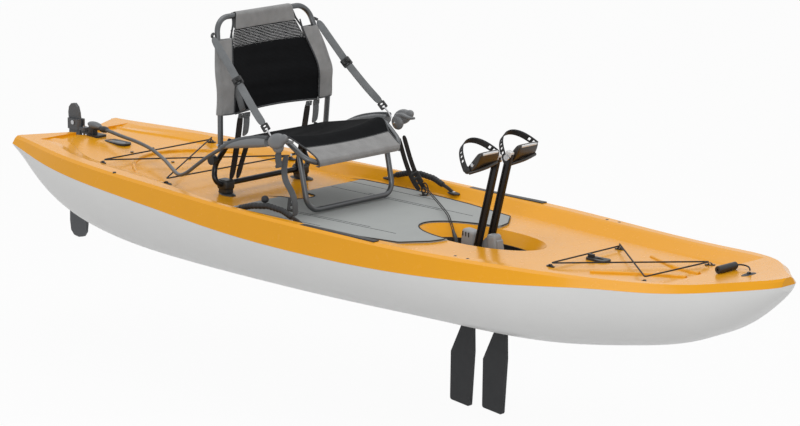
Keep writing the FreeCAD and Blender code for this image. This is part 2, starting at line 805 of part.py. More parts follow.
def build_stern_handle():
    """Oval moulded grip on the rear deck."""
    level = deck_level(-1377, 0)
    dish = smooth_prism([(-1435, -26), (-1320, -26), (-1320, 26), (-1435, 26)], level - 1,
                        level + 5, 24)
    hole = smooth_prism([(-1420, -14), (-1335, -14), (-1335, 14), (-1420, 14)], level + 1,
                        level + 9, 12)
    parts.append(shape_part("stern_handle", seated(dish.cut(hole))))


def build_deck_plugs():
    """Black plugs over the rear deck's fixing points."""
    spots = ((-1245, 50), (-1245, -50), (-1040, 40), (-1040, -40), (-987, 363), (-987, -363))
    plugs = []
    for x, y in spots:
        level = deck_level(x, y)
        plugs.append(seated(Part.makeCylinder(6, 5, V(x, y, level - 2))))
    parts.append(shape_part("deck_plugs", Part.makeCompound(plugs)))


# ---------------------------------------------------------------- seat

BASE_RAIL = ((-580, 228, 434), (-266, 236, 494), (-160, 222, 424))
BACK_ROUTE = ((-567, 252, 424), (-556, 262, 640), (-622, 214, 862))


def build_seat_base():
    """Bent tubes of the seat's base: one hoop round the sides and front."""
    size = d("seat_tube")
    hoop = list(BASE_RAIL) + mirrored(reversed(BASE_RAIL))
    base = tube(hoop, [45, 58, 58, 45], size)
    leg = [(-236, 207, 462), (-190, 205, 256), (-190, -205, 256), (-236, -207, 462)]
    leg = tube(leg, [48, 48], size)
    rear = [(-566, 207, 446), (-642, 212, 346), (-618, 232, 284), (-618, -232, 284),
            (-642, -212, 346), (-566, -207, 446)]
    rear = tube(rear, [52, 27, 27, 52], size)
    pivots = []
    for _, sign in SIDES:
        pivots.append(bar((-566, sign * 192, 438), (-566, sign * 268, 438), 4))
        pivots.append(bar((-231, sign * 192, 450), (-231, sign * 244, 450), 4))
    bolts = Part.makeCompound(pivots)
    parts.append(shape_part("seat_base_frame", base.cut(bolts)))
    parts.append(shape_part("seat_front_leg", leg.cut(bolts)))
    parts.append(shape_part("seat_rear_frame", rear.cut(bolts)))
    parts.append(shape_part("seat_bolts", bolts))


def build_seat_clamps():
    """Deck blocks that hold the rear bar, and the two screw knobs on the rear legs."""
    blocks = []
    for _, sign in SIDES:
        y = sign * 180
        level = deck_level(-618, y)
        block = box((-640, y - 17, level - 3), (-596, y + 17, 299))
        block = block.makeFillet(6, [e for e in block.Edges if along(Z_AXIS)(e)])
        blocks.append(seated(block.cut(bar((-618, y - 30, 284), (-618, y + 30, 284), 9.5))))
    parts.append(shape_part("seat_clamps", Part.makeCompound(blocks)))
    knobs = []
    for _, sign in SIDES:
        stem = bar((-616, sign * 211, 376), (-616, sign * 236, 376), 5)
        head = bar((-616, sign * 236, 376), (-616, sign * 252, 376), 17)
        knobs.append(stem.fuse(head).cut(find("seat_rear_frame").Shape))
    parts.append(shape_part("leg_knobs", Part.makeCompound(knobs)))


def build_seat_sling():
    """Fabric of the seat: a thin curved sheet stretched between the side rails."""
    profile = [(-545, 445), (-420, 466), (-285, 497), (-215, 468), (-155, 436)]
    thick = 4
    upper = Part.BSplineCurve()
    upper.interpolate([V(x, 0, z + 13) for x, z in profile])
    lower = Part.BSplineCurve()
    lower.interpolate([V(x, 0, z + 13 - thick) for x, z in profile])
    edges = [upper.toShape(), lower.toShape(),
             Part.makeLine(upper.StartPoint, lower.StartPoint),
             Part.makeLine(upper.EndPoint, lower.EndPoint)]
    face = Part.Face(Part.Wire(Part.__sortEdges__(edges)))
    face.translate(V(0, -205, 0))
    parts.append(shape_part("seat_sling", face.extrude(V(0, 410, 0))))


def build_seat_back():
    """Back frame, its pivots, mesh and head band."""
    size = d("seat_tube")
    hoop = list(BACK_ROUTE) + mirrored(reversed(BACK_ROUTE))
    frame = tube(hoop, [260, 62, 62, 260], size)
    parts.append(shape_part("back_frame", frame.cut(bar((-566, -280, 438), (-566, 280, 438), 4.05))))
    side = [(-562, 540), (-556, 640), (-588, 752), (-612, 812)]
    sheet_face = Part.BSplineCurve()
    sheet_face.interpolate([V(x, 0, z) for x, z in side])
    back = Part.BSplineCurve()
    back.interpolate([V(x - 4, 0, z) for x, z in side])
    edges = [sheet_face.toShape(), back.toShape(),
             Part.makeLine(sheet_face.StartPoint, back.StartPoint),
             Part.makeLine(sheet_face.EndPoint, back.EndPoint)]
    face = Part.Face(Part.Wire(Part.__sortEdges__(edges)))
    face.translate(V(0, -240, 0))
    block = face.extrude(V(0, 480, 0))
    front = [(-251, 530), (251, 530), (251, 640), (196, 830), (-196, 830), (-251, 640)]
    plan = Part.Face(Part.makePolygon([V(-700, y, z) for y, z in front + front[:1]]))
    block = block.common(plan.extrude(V(300, 0, 0)))
    tubes = tube(hoop, [260, 62, 62, 260], size + 0.4)
    parts.append(shape_part("back_sling", block.cut(tubes)))
    band = bar((-622, -140, 862), (-622, 140, 862), size / 2 + 4)
    band = band.cut(bar((-622, -141, 862), (-622, 141, 862), size / 2 + 0.1))
    parts.append(shape_part("back_headband", band))


def strap(start, end, width, thick, normal):
    """A flat strap between two points, its face square to the normal."""
    a = V(*start)
    b = V(*end)
    along_strap = (b - a).normalize()
    across = along_strap.cross(V(*normal)).normalize()
    up = across.cross(along_strap).normalize()
    corners = []
    for s, t in ((-1, -1), (1, -1), (1, 1), (-1, 1)):
        corners.append(a + across * (s * width / 2) + up * (t * thick / 2))
    face = Part.Face(Part.makePolygon(corners + corners[:1]))
    return face.extrude(b - a)


def build_straps():
    """Tie-downs from the seat front to the deck, recline straps and the rear stays."""
    stays = []
    tie_downs = []
    for side, sign in SIDES:
        top = (-190, sign * 262, 436)
        eye = deck_level(-145, sign * 313)
        hook = (-145, sign * 313, eye + 24)
        webbing = strap(top, hook, 25, 2.5, (1, 0, 0))
        ring = Part.makeTorus(9, 2, V(-145, sign * 313, eye + 13.6), X_AXIS)
        tie_downs.append(webbing.fuse(ring))
        upper = (-612, sign * 252, 790)
        lower = (-300, sign * 285, 528)
        recline = strap(upper, lower, 25, 2.5, (0, 1, 0))
        buckle = strap((-478, sign * 266.2, 677.5), (-440, sign * 270.2, 645.6), 32, 8, (0, 1, 0))
        parts.append(shape_part(f"recline_strap_{side}", recline.fuse(buckle)))
        stays.append(strap((-570, sign * 140, 532), (-624, sign * 140, 302), 25, 2.5, (1, 0, 0)))
    parts.append(shape_part("tie_downs", Part.makeCompound(tie_downs)))
    parts.append(shape_part("back_stay_straps", Part.makeCompound(stays)))


# ---------------------------------------------------------------- steering

def build_steering_levers():
    """A cable sleeve along each side rail, and the hand lever that turns at its front."""
    for side, sign in SIDES:
        x, y, z = d("lever_x"), sign * d("lever_y"), d("lever_z")
        rear = V(-515, y, 441)
        front = V(x - 26, y, z - 4)
        sleeve = Part.makeCone(9, 17, (front - rear).Length, rear, front - rear)
        boss = bar((x, y - 12, z), (x, y + 12, z), 24)
        hub = bar((x, sign * 250, z), (x, y, z), 9)
        clearance = bar((x, y - 13, z), (x, y + 13, z), 26.5)
        sleeve = sleeve.cut(clearance).fuse(hub.cut(clearance))
        axle = bar((x, sign * 250, z), (x, sign * 297, z), 6)
        fixed = sleeve.fuse(axle)
        clip = box((x - 60, min(sign * 251, y), z - 20), (x - 44, max(sign * 251, y), z - 4))
        web = box((x - 60, min(sign * 251, sign * 258), z - 20),
                  (x + 10, max(sign * 251, sign * 258), z + 10))
        parts.append(shape_part(f"steering_sleeve_{side}", fixed.fuse(clip).fuse(web)))
        boss = boss.cut(bar((x, y - 13, z), (x, y + 13, z), 6.05))
        paddle = smooth_prism([(x + 4, -9), (x + 92, -11), (x + 92, 11), (x + 4, 9)], -6, 6, 5)
        paddle.Placement = FreeCAD.Placement(V(0, y, z + 10), FreeCAD.Rotation())
        paddle = paddle.cut(bar((x, y - 13, z), (x, y + 13, z), 20))
        parts.append(shape_part(f"steering_lever_{side}", boss.fuse(paddle)))


UMBILICAL = ((-1500, 0, 331), (-1440, 0, 331), (-1380, -16, 330), (-1310, -32, 328),
             (-1240, -48, 328), (-1165, -68, 326), (-1090, -92, 322), (-1015, -124, 316),
             (-940, -164, 313), (-868, -208, 310), (-800, -248, 306), (-745, -278, 307),
             (-700, -288, 324), (-655, -291, 354), (-605, -292, 388), (-558, -291, 416),
             (-518, -290, 438))


def build_umbilical():
    """Sheathed pair of steering lines from the rudder head to the starboard lever."""
    radii = largest_radii(UMBILICAL)
    print("umbilical radii", [round(r) for r in radii])
    parts.append(shape_part("steering_umbilical", tube(UMBILICAL, radii, 13)))


def build_rudder():
    """Gudgeon and pin on the hull, the steering head, and the blade that kicks up in it."""
    pin_x = d("rudder_pin_x")
    px, pz = d("rudder_pivot_x"), d("rudder_pivot_z")
    apex = d("notch_apex_x")
    deck = deck_level(apex + 20, 0)
    plate = smooth_prism([(apex - 6, -24), (apex + 56, -24), (apex + 56, 24), (apex - 6, 24)],
                         deck - 3, deck + 6, 5)
    gudgeon = plate.fuse(box((apex - 8, -13, deck - 46), (apex - 0.2, 13, deck + 6)))
    for z in (deck - 46, deck + 2):
        arm = smooth_prism([(pin_x - 9, -10), (apex - 2, -12), (apex - 2, 12), (pin_x - 9, 10)],
                           z, z + 9, 4)
        gudgeon = gudgeon.fuse(arm)
    socket = smooth_prism([(-1524, -14), (-1500, -14), (-1500, 14), (-1524, 14)], deck + 3, 346, 6)
    gudgeon = gudgeon.fuse(socket)
    gudgeon = seated(gudgeon).cut(bar((pin_x, 0, 200), (pin_x, 0, 400), 5.05))
    pin = bar((pin_x, 0, deck - 50), (pin_x, 0, deck + 28), 5)
    pin = pin.fuse(bar((pin_x, 0, deck - 52), (pin_x, 0, deck - 47), 8))
    parts.append(shape_part("rudder_gudgeon", gudgeon))
    parts.append(shape_part("rudder_pin", pin))
    base = deck + 12
    neck = smooth_prism([(px + 20, -15), (pin_x + 18, -15), (pin_x + 18, 15), (px + 20, 15)],
                        base, base + 11, 7)
    cheeks = smooth_prism([(px - 36, -18), (px + 30, -18), (px + 30, 18), (px - 36, 18)],
                          base, base + 38, 9)
    head = neck.fuse(cheeks).cut(box((px - 60, -6.6, base - 10), (pin_x - 9, 6.6, base + 60)))
    head = head.cut(bar((pin_x, 0, base - 5), (pin_x, 0, base + 50), 5.05))
    bolt = bar((px, -22, pz), (px, 22, pz), 4)
    parts.append(shape_part("rudder_head", head.cut(bolt)))
    parts.append(rudder_blade_body())
    nuts = [bar((px, sign * 18, pz), (px, sign * 22, pz), 8) for _, sign in SIDES]
    parts.append(shape_part("rudder_pivot_bolt", bolt.fuse(nuts[0]).fuse(nuts[1])))


def rudder_blade_body():
    """A long foil, narrow in the head, with a round lobe above its pivot."""
    body = new_body("rudder_blade")
    px = "rudder_pivot_x"
    outline = polygon(body, "blade_outline", "XZ_Plane", [
        (f"{px} - 36", 320), (f"{px} - 40", 372), (f"{px} - 36", 392), (f"{px} - 23", 406),
        (f"{px} - 5", 408), (f"{px} + 9", 396), (f"{px} + 16", 376), (f"{px} + 22", 336),
        (f"{px} + 24", 214), (-1553, 165), (-1552, -40), (-1556, -68), (-1570, -86),
        (-1594, -91), (-1620, -87), (-1637, -70), (-1642, -36), (f"{px} - 38", 220)])
    pad(body, "blade_plate", outline, "blade_thick - 2", middle=True)
    round_edges(body, "blade_corners", 5, along(Y_AXIS))
    pivot = circle(body, "pivot_outline", "XZ_Plane", (px, "rudder_pivot_z"),
                   "4 + running_fit")
    pocket(body, "pivot_bore", pivot, "4 * blade_thick", middle=True)
    return body


# ---------------------------------------------------------------- pedal drive

def build_drive_frame():
    """Spine that drops into the well, with the crank axle, fin shaft and two latches."""
    cx, cz = d("crank_x"), d("crank_z")
    axis_z = d("fin_axis_z")
    spine = new_body("drive_spine")
    outline = polygon(spine, "spine_outline", "XZ_Plane", [
        (322, -12), (322, 150), (338, 238), (352, 252), (384, 240), ("crank_x", "crank_z + 40"),
        (440, 236), (468, 250), (492, 232), (508, 150), (556, 60), (556, -12)])
    pad(spine, "spine_plate", outline, "spine_thick", middle=True)
    round_edges(spine, "spine_corners", 5, along(Y_AXIS))
    for number, x in enumerate((322, 430, 547)):
        ear = polygon(spine, f"ear_outline_{number}", "XZ_Plane", [
            (x, "fin_axis_z - 12"), (x + 9, "fin_axis_z - 12"), (x + 9, -2), (x, -2)])
        pad(spine, f"ear_{number}", ear, 20, middle=True)
    shaft = circle(spine, "shaft_outline", "YZ_Plane", (0, "fin_axis_z"), "shaft_radius", 300)
    pocket(spine, "shaft_bore", shaft, 300, reverse=True)
    axle = circle(spine, "axle_outline", "XZ_Plane", ("crank_x", "crank_z"), "axle_radius")
    pocket(spine, "axle_bore", axle, "4 * spine_thick", middle=True)
    parts.append(spine)
    parts.append(shape_part("crank_axle", bar((cx, -50, cz), (cx, 50, cz), 8)))
    parts.append(shape_part("fin_shaft", bar((320, 0, axis_z), (558, 0, axis_z), 4)))
    latches = []
    for x0, x1 in ((222, 322), (556, 616)):
        arm = box((x0, -18, 120), (x1, 18, 148))
        arm = arm.makeFillet(5, [e for e in arm.Edges if along(X_AXIS)(e)])
        latches.append(arm)
    parts.append(shape_part("drive_latches", Part.makeCompound(latches)))


def crank_point(distance, y=0):
    """A point on the crank's centre line at a distance from its axle."""
    lean = math.radians(d("crank_lean"))
    return V(d("crank_x") + distance * math.sin(lean), y,
             d("crank_z") + distance * math.cos(lean))


def crank_arm(side, place):
    """One extruded bar: round boss, two flutes, bores for the axle and the spindle."""
    body = new_body(f"crank_arm_{side}")
    bar_outline = polygon(body, f"arm_outline_{side}", "XZ_Plane", [
        ("0 - crank_width / 2", 0), ("crank_width / 2", 0),
        ("crank_width / 2", "crank_length + 14"), ("0 - crank_width / 2", "crank_length + 14")])
    pad(body, f"arm_{side}", bar_outline, "crank_thick", middle=True)
    boss = circle(body, f"boss_outline_{side}", "XZ_Plane", (0, 0), 22)
    pad(body, f"boss_{side}", boss, "crank_thick", middle=True)
    round_edges(body, f"arm_corners_{side}", 3, along(Z_AXIS))
    for face in (-1, 1):
        flute = polygon(body, f"flute_outline_{side}_{face + 1}", "XZ_Plane", [
            (-6, 52), (6, 52), (6, "crank_length - 26"), (-6, "crank_length - 26")],
            f"{face} * (crank_thick / 2 - 3)" if face > 0 else "3 - crank_thick / 2")
        pocket(body, f"flute_{side}_{face + 1}", flute, 8, reverse=face > 0)
    axle = circle(body, f"axle_outline_{side}", "XZ_Plane", (0, 0), "axle_radius + running_fit")
    pocket(body, f"axle_bore_{side}", axle, "4 * crank_thick", middle=True)
    end = circle(body, f"spindle_outline_{side}", "XZ_Plane", (0, "crank_length"),
                 "spindle_radius")
    pocket(body, f"spindle_bore_{side}", end, "4 * crank_thick", middle=True)
    body.Placement = FreeCAD.Placement(place, FreeCAD.Rotation(Y_AXIS, d("crank_lean")))
    return body


def build_cranks():
    """Two rocking cranks: chain drum, fluted arm and spindle."""
    thick = d("crank_thick")
    long = d("crank_length")
    cx, cz = d("crank_x"), d("crank_z")
    for side, sign in SIDES:
        y = sign * d("crank_gap")
        parts.append(crank_arm(side, V(cx, y, cz)))
        inner = sign * 15
        outer = y - sign * thick / 2
        drum = bar((cx, inner, cz), (cx, outer, cz), d("crank_hub_radius"))
        drum = drum.cut(bar((cx, inner - sign, cz), (cx, outer + sign, cz), 8.05))
        parts.append(shape_part(f"crank_drum_{side}", drum))
        tip = crank_point(long)
        spindle = bar((tip.x, sign * 20, tip.z), (tip.x, sign * 148, tip.z), d("spindle_radius"))
        cap = bar((tip.x, sign * 14, tip.z), (tip.x, sign * 20, tip.z), 10)
        parts.append(shape_part(f"pedal_spindle_{side}", spindle.fuse(cap)))


def build_pedals():
    """Foot pedals that turn on the spindles, each with a ladder strap over the foot."""
    tip = crank_point(d("crank_length"))
    wide = d("pedal_width")
    long = d("pedal_length")
    thick = d("pedal_thick")
    for side, sign in SIDES:
        outline = [(-long / 2, -8), (-long / 2 + 18, -thick), (long / 2 - 22, -thick),
                   (long / 2, -4), (long / 2, 8), (-long / 2, 8)]
        face = Part.Face(route_wire_closed([V(x, 0, z) for x, z in outline], 4))
        body = face.extrude(V(0, wide, 0))
        for step in (-34, 12):
            window = box((step, 14, -40), (step + 22, wide - 14, 40))
            body = body.cut(window)
        body = body.fuse(Part.makeCylinder(11, wide, V(0, 0, -4), Y_AXIS))
        body = body.cut(Part.makeCylinder(d("spindle_radius") + 0.05, wide + 2, V(0, -1, -4),
                                          Y_AXIS))
        arch_outer = Part.Ellipse(V(0, 0, 0), 84, wide / 2 + 3)
        arch_inner = Part.Ellipse(V(0, 0, 0), 81, wide / 2)
        rotate = FreeCAD.Rotation(V(0, 0, 1), V(0, 1, 0), V(1, 0, 0), "ZXY")
        rings = []
        for curve in (arch_outer, arch_inner):
            disc = Part.Face(Part.Wire(curve.toShape()))
            disc.Placement = FreeCAD.Placement(V(8, wide / 2, 8), rotate)
            rings.append(disc.extrude(X_AXIS * 24))
        arch = rings[0].cut(rings[1]).common(box((-60, -20, 8.05), (90, wide + 20, 120)))
        lean = FreeCAD.Rotation(Y_AXIS, 90 - d("pedal_slope") - 90)
        at = FreeCAD.Placement(V(tip.x, sign * 44 if sign > 0 else -44 - wide, tip.z), lean)
        shift = FreeCAD.Placement(V(0, 0, 4), FreeCAD.Rotation())
        for label, solid in ((f"pedal_{side}", body), (f"pedal_strap_{side}", arch)):
            solid.Placement = at.multiply(shift)
            parts.append(shape_part(label, solid))


def build_fins():
    """Two fins: a sweeping cup on the shaft, a mast and a flexible blade on each."""
    axis_z = d("fin_axis_z")
    radius = d("mast_radius")
    for end, mast_x in (("front", d("front_mast_x")), ("rear", d("rear_mast_x"))):
        drum = bar((mast_x - 28, 0, axis_z), (mast_x + 28, 0, axis_z), 16)
        block = box((mast_x - 14, -11, axis_z - 34), (mast_x + 14, 11, axis_z))
        fork = box((mast_x - 20, -6.9, axis_z - 60), (mast_x + 20, 6.9, axis_z - 17))
        drum = drum.fuse(block).cut(fork)
        drum = drum.cut(bar((mast_x - 30, 0, axis_z), (mast_x + 30, 0, axis_z), 4.05))
        pivot = (mast_x, axis_z - 27)
        bolt = bar((pivot[0], -14, pivot[1]), (pivot[0], 14, pivot[1]), 3)
        parts.append(shape_part(f"fin_cup_{end}", drum.fuse(bolt)))
        foot = box((mast_x - 6, -6, pivot[1] - 6), (mast_x + 6, 6, pivot[1] + 6))
        mast = bar((mast_x, 0, pivot[1]), (mast_x, 0, -330), radius)
        mast = mast.fuse(foot).cut(bar((pivot[0], -14, pivot[1]), (pivot[0], 14, pivot[1]), 3.05))
        parts.append(shape_part(f"fin_mast_{end}", mast))
        lead = mast_x + 14
        fin = new_body(f"fin_{end}")
        outline = polygon(fin, f"fin_outline_{end}", "XZ_Plane", [
            (lead, -74), (lead + 2, -160), (lead - 12, -352), (lead - 101, -342),
            (lead - 99, -176), (lead - 50, -74)])
        pad(fin, f"fin_plate_{end}", outline, "fin_thick", middle=True)
        round_edges(fin, f"fin_corners_{end}", 9, along(Y_AXIS))
        socket = circle(fin, f"mast_outline_{end}", "XY_Plane", (mast_x, 0), "mast_radius", -330)
        pocket(fin, f"mast_bore_{end}", socket, 330, reverse=True)
        parts.append(fin)


def build_leash():
    """Doubled cord from a deck ring to the drive's rear latch."""
    cords = []
    for shift in (-4, 4):
        route = [(-136, 306 + shift, 270), (140, 120 + shift, 256), (200, 74 + shift, 246),
                 (262, 30 + shift, 208)]
        cords.append(tube(route, largest_radii(route), 3.5))
    parts.append(shape_part("drive_leash", Part.makeCompound(cords)))


def main():
    write_sheet()
    build_hull_shell()
    build_deck_shell()
    build_well_liner()
    build_mat()
    seat_rim_fittings()
    build_pad_eyes()
    build_bungees()
    build_bungee_hook()
    build_bow_handle()
    build_side_handles()
    build_stern_handle()
    build_deck_plugs()
    build_seat_base()
    build_seat_clamps()
    build_seat_sling()
    build_seat_back()
    build_straps()
    build_steering_levers()
    build_umbilical()
    build_rudder()
    build_drive_frame()
    build_cranks()
    build_pedals()
    build_fins()
    build_leash()
    finish()


def finish():
    """Check every object, then write one file for each sub-part."""
    doc.recompute()
    for obj in doc.Objects:
        if "Invalid" in obj.State or "Error" in obj.State:
            raise RuntimeError(f"{obj.Label} failed: {obj.State}")
    os.makedirs("parts", exist_ok=True)
    for part in parts:
        shape = part.Shape
        if shape.isNull() or not shape.isValid():
            raise RuntimeError(f"{part.Label} has no valid shape")
        box_ = shape.BoundBox
        print(f"{part.Label:28s} {len(shape.Solids)} solids {shape.Volume / 1000:9.1f} cm3 "
              f"x {box_.XMin:.0f}..{box_.XMax:.0f} y {box_.YMin:.0f}..{box_.YMax:.0f} "
              f"z {box_.ZMin:.0f}..{box_.ZMax:.0f}")
        shape.exportStep(f"parts/{part.Label}.step")


main()
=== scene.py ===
"""Sit-on-top pedal kayak: moulded hull and deck, pedal drive, framed seat and stern rudder."""
import math

import bmesh
import bpy
from mathutils import Matrix, Vector


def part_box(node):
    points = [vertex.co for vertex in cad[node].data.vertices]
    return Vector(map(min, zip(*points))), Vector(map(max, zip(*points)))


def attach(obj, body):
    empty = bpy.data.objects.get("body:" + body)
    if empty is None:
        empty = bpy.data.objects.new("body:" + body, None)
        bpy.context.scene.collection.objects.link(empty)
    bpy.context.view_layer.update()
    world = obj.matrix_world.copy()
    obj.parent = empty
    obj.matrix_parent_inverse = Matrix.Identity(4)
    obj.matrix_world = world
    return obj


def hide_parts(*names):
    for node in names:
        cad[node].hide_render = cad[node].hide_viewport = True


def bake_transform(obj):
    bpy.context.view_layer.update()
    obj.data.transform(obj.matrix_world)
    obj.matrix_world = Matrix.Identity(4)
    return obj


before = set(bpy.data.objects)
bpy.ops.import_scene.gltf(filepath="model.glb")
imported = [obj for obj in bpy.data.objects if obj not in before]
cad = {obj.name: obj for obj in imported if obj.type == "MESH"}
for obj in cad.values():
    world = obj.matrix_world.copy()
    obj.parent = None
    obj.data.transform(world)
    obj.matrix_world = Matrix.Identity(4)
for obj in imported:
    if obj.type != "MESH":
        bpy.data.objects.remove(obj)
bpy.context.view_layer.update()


# ---- Camera -------------------------------------------------------------------------------
# A long lens stands off the starboard bow quarter, a little above the deck, and looks aft
# across the boat, so that both the near side and the whole deck are seen.
yaw, pitch, roll = (math.radians(angle) for angle in (43.818, 12.547, 0.224))
forward = Vector((-math.sin(yaw) * math.cos(pitch), math.cos(yaw) * math.cos(pitch),
                  -math.sin(pitch)))
level = Vector((math.cos(yaw), math.sin(yaw), 0))
upright = level.cross(forward)
right = math.cos(roll) * level + math.sin(roll) * upright
upright = math.cos(roll) * upright - math.sin(roll) * level
camera = bpy.data.objects.new("camera", bpy.data.cameras.new("camera"))
camera.data.sensor_width = 36
camera.data.lens = 157.54
camera.data.clip_end = 200
bpy.context.scene.view_settings.view_transform = "Standard"
camera.matrix_world = Matrix((
    (right.x, upright.x, -forward.x, 7.9623),
    (right.y, upright.y, -forward.y, -8.2568),
    (right.z, upright.z, -forward.z, 2.8012),
    (0, 0, 0, 1)))
bpy.context.scene.collection.objects.link(camera)
bpy.context.scene.camera = camera


# ---- Studio -------------------------------------------------------------------------------
# A white paper sweep lies below the fins, under a wide soft light overhead and a smaller one at
# the bow side. The floor shows white to the camera and keeps the boat's shadow.
FLOOR_Z = -0.40


def srgb(code):
    """Linear colour of a written sRGB hex value."""
    parts = [int(code[i:i + 2], 16) / 255 for i in (1, 3, 5)]
    return (*(p / 12.92 if p <= 0.04045 else ((p + 0.055) / 1.055) ** 2.4 for p in parts), 1)


def add(tree, kind, inputs=None, **settings):
    """Adds one node; an input given another node's output socket is linked to it."""
    node = tree.nodes.new("ShaderNode" + kind)
    for name, value in settings.items():
        setattr(node, name, value)
    for name, value in (inputs or {}).items():
        if isinstance(value, bpy.types.NodeSocket):
            tree.links.new(value, node.inputs[name])
        else:
            node.inputs[name].default_value = value
    return node


def blank_material(name):
    """A node material with nothing in it yet, and its tree."""
    material = bpy.data.materials.new(name)
    material.use_nodes = True
    material.node_tree.nodes.clear()
    return material, material.node_tree


def new_piece(name, mesh, material, smooth=True):
    """Turns a bmesh into an object at the origin with one material."""
    data = bpy.data.meshes.new(name)
    mesh.to_mesh(data)
    mesh.free()
    data.materials.append(material)
    for face in data.polygons:
        face.use_smooth = smooth
    piece = bpy.data.objects.new(name, data)
    bpy.context.scene.collection.objects.link(piece)
    return piece


def dress(material, *names):
    """Gives CAD nodes a finish."""
    for name in names:
        slots = cad[name].data.materials
        slots.clear()
        slots.append(material)


paper, tree = blank_material("white_sweep")
rays = add(tree, "LightPath")
matt = add(tree, "BsdfDiffuse", {"Color": srgb("#C4C4C4")})
glow = add(tree, "Emission", {"Color": (1, 1, 1, 1), "Strength": 1.0})
seen = add(tree, "Math", {0: rays.outputs["Is Camera Ray"], 1: rays.outputs["Is Glossy Ray"]},
           operation="MAXIMUM")
share = add(tree, "Math", {0: seen.outputs[0], 1: 0.95}, operation="MULTIPLY")
mixed = add(tree, "MixShader", {0: share.outputs[0], 1: matt.outputs[0], 2: glow.outputs[0]})
add(tree, "OutputMaterial", {"Surface": mixed.outputs[0]})
sweep = bmesh.new()
bmesh.ops.create_grid(sweep, x_segments=8, y_segments=8, size=30)
bmesh.ops.translate(sweep, verts=sweep.verts, vec=(0, 0, FLOOR_Z))
new_piece("studio_floor", sweep, paper, smooth=False)

world = bpy.data.worlds.new("studio")
bpy.context.scene.world = world
world.use_nodes = True
tree = world.node_tree
tree.nodes.clear()
rays = add(tree, "LightPath")
fill = add(tree, "Background", {"Color": (1, 1, 1, 1), "Strength": 0.78})
white = add(tree, "Background", {"Color": (1, 1, 1, 1), "Strength": 1.0})
seen = add(tree, "Math", {0: rays.outputs["Is Camera Ray"], 1: rays.outputs["Is Glossy Ray"]},
           operation="MAXIMUM")
mixed = add(tree, "MixShader", {0: seen.outputs[0], 1: fill.outputs[0],
                                2: white.outputs[0]})
add(tree, "OutputWorld", {"Surface": mixed.outputs[0]})


def soft_light(name, place, target, size, power):
    lamp = bpy.data.objects.new(name, bpy.data.lights.new(name, "AREA"))
    lamp.data.shape = "RECTANGLE"
    lamp.data.size, lamp.data.size_y = size
    lamp.data.energy = power
    lamp.location = place
    aim = Vector(target) - Vector(place)
    lamp.rotation_euler = aim.to_track_quat("-Z", "Y").to_euler()
    bpy.context.scene.collection.objects.link(lamp)


soft_light("overhead", (-0.6, 0.6, 4.2), (0, 0, 0.2), (4.5, 2.6), 58)
soft_light("bow_side", (4.2, -4.6, 2.2), (0.2, 0, 0.2), (2.6, 2.0), 92)


# ---- Hull ---------------------------------------------------------------------------------
# The lower shell, rotomoulded in polyethylene. The wax-like resin leaves a soft satin skin
# with a faint orange-peel and very slight clouding of its colour.


def moulded_plastic(name, colour, roughness=0.42, cloud=0.05, grain_mm=1.4, depth=0.12,
                    sheen=0.5, lacquer=0.0):
    """Moulded thermoplastic: clouded colour and a fine surface grain, lacquered if asked."""
    material, tree = blank_material(name)
    place = add(tree, "TexCoord")
    broad = add(tree, "TexNoise", {"Vector": place.outputs["Object"], "Scale": 9.0,
                                   "Detail": 3.0})
    dark = [c * (1 - cloud) for c in srgb(colour)[:3]] + [1]
    light = [min(1, c * (1 + cloud)) for c in srgb(colour)[:3]] + [1]
    tone = add(tree, "Mix", {0: broad.outputs[0], 6: dark, 7: light}, data_type="RGBA")
    grain = add(tree, "TexNoise", {"Vector": place.outputs["Object"], "Scale": 1000 / grain_mm,
                                   "Detail": 2.0})
    bump = add(tree, "Bump", {"Height": grain.outputs[0], "Strength": depth,
                              "Distance": grain_mm / 4000})
    rub = add(tree, "TexNoise", {"Vector": place.outputs["Object"], "Scale": 38.0,
                                 "Detail": 6.0, "Roughness": 0.7})
    rough = add(tree, "MapRange", {0: rub.outputs[0], 1: 0.35, 2: 0.75,
                                   3: roughness - 0.04, 4: roughness + 0.07})
    shader = add(tree, "BsdfPrincipled", {
        "Base Color": tone.outputs[2], "Roughness": rough.outputs[0], "IOR": 1.5,
        "Specular IOR Level": sheen, "Coat Weight": lacquer, "Coat Roughness": 0.12,
        "Normal": bump.outputs[0]})
    add(tree, "OutputMaterial", {"Surface": shader.outputs[0]})
    return material


hull_polyethylene = moulded_plastic("hull_polyethylene", "#DADAD9", roughness=0.36, cloud=0.02,
                                    grain_mm=2.2, depth=0.10)
dress(hull_polyethylene, "hull_shell")


# ---- Deck ---------------------------------------------------------------------------------
# The upper shell of the same moulding, in orange resin, with a smooth rim, a dished cockpit
# and fore and aft trays. Polished steel in the mould leaves it shinier than the hull.
deck_polyethylene = moulded_plastic("deck_polyethylene", "#E29C18", roughness=0.24, cloud=0.03,
                                    grain_mm=2.2, depth=0.07, sheen=0.15, lacquer=0.14)
dress(deck_polyethylene, "deck_shell")


# ---- Moulded black fittings ---------------------------------------------------------------
# Pad-eyes, tracks, plugs, clamps, knobs and latches are glass-filled nylon, moulded black with
# a fine spark-eroded grain that keeps them dull. The rim's threaded inserts are brass; their
# near-black colour is painted shade inside the threaded holes.
black_nylon = moulded_plastic("black_nylon", "#1C1D1E", roughness=0.46, cloud=0.08,
                              grain_mm=0.9, depth=0.25)
# The drive well's liner is dressed in this same black, so the whole well reads dark below the
# deck's opening.
dress(black_nylon, "well_liner", "gear_tracks", "pad_eyes", "stern_handle", "deck_plugs",
      "rudder_gudgeon", "seat_clamps", "leg_knobs", "drive_latches", "bungee_hook",
      "bow_toggle", "crank_drum_starboard", "crank_drum_port")
# Painted shade: the brass inserts are given near-black for the shade inside their threaded
# holes.
dress(moulded_plastic("insert_painted_shade", "#2A2826", roughness=0.4), "threaded_inserts")
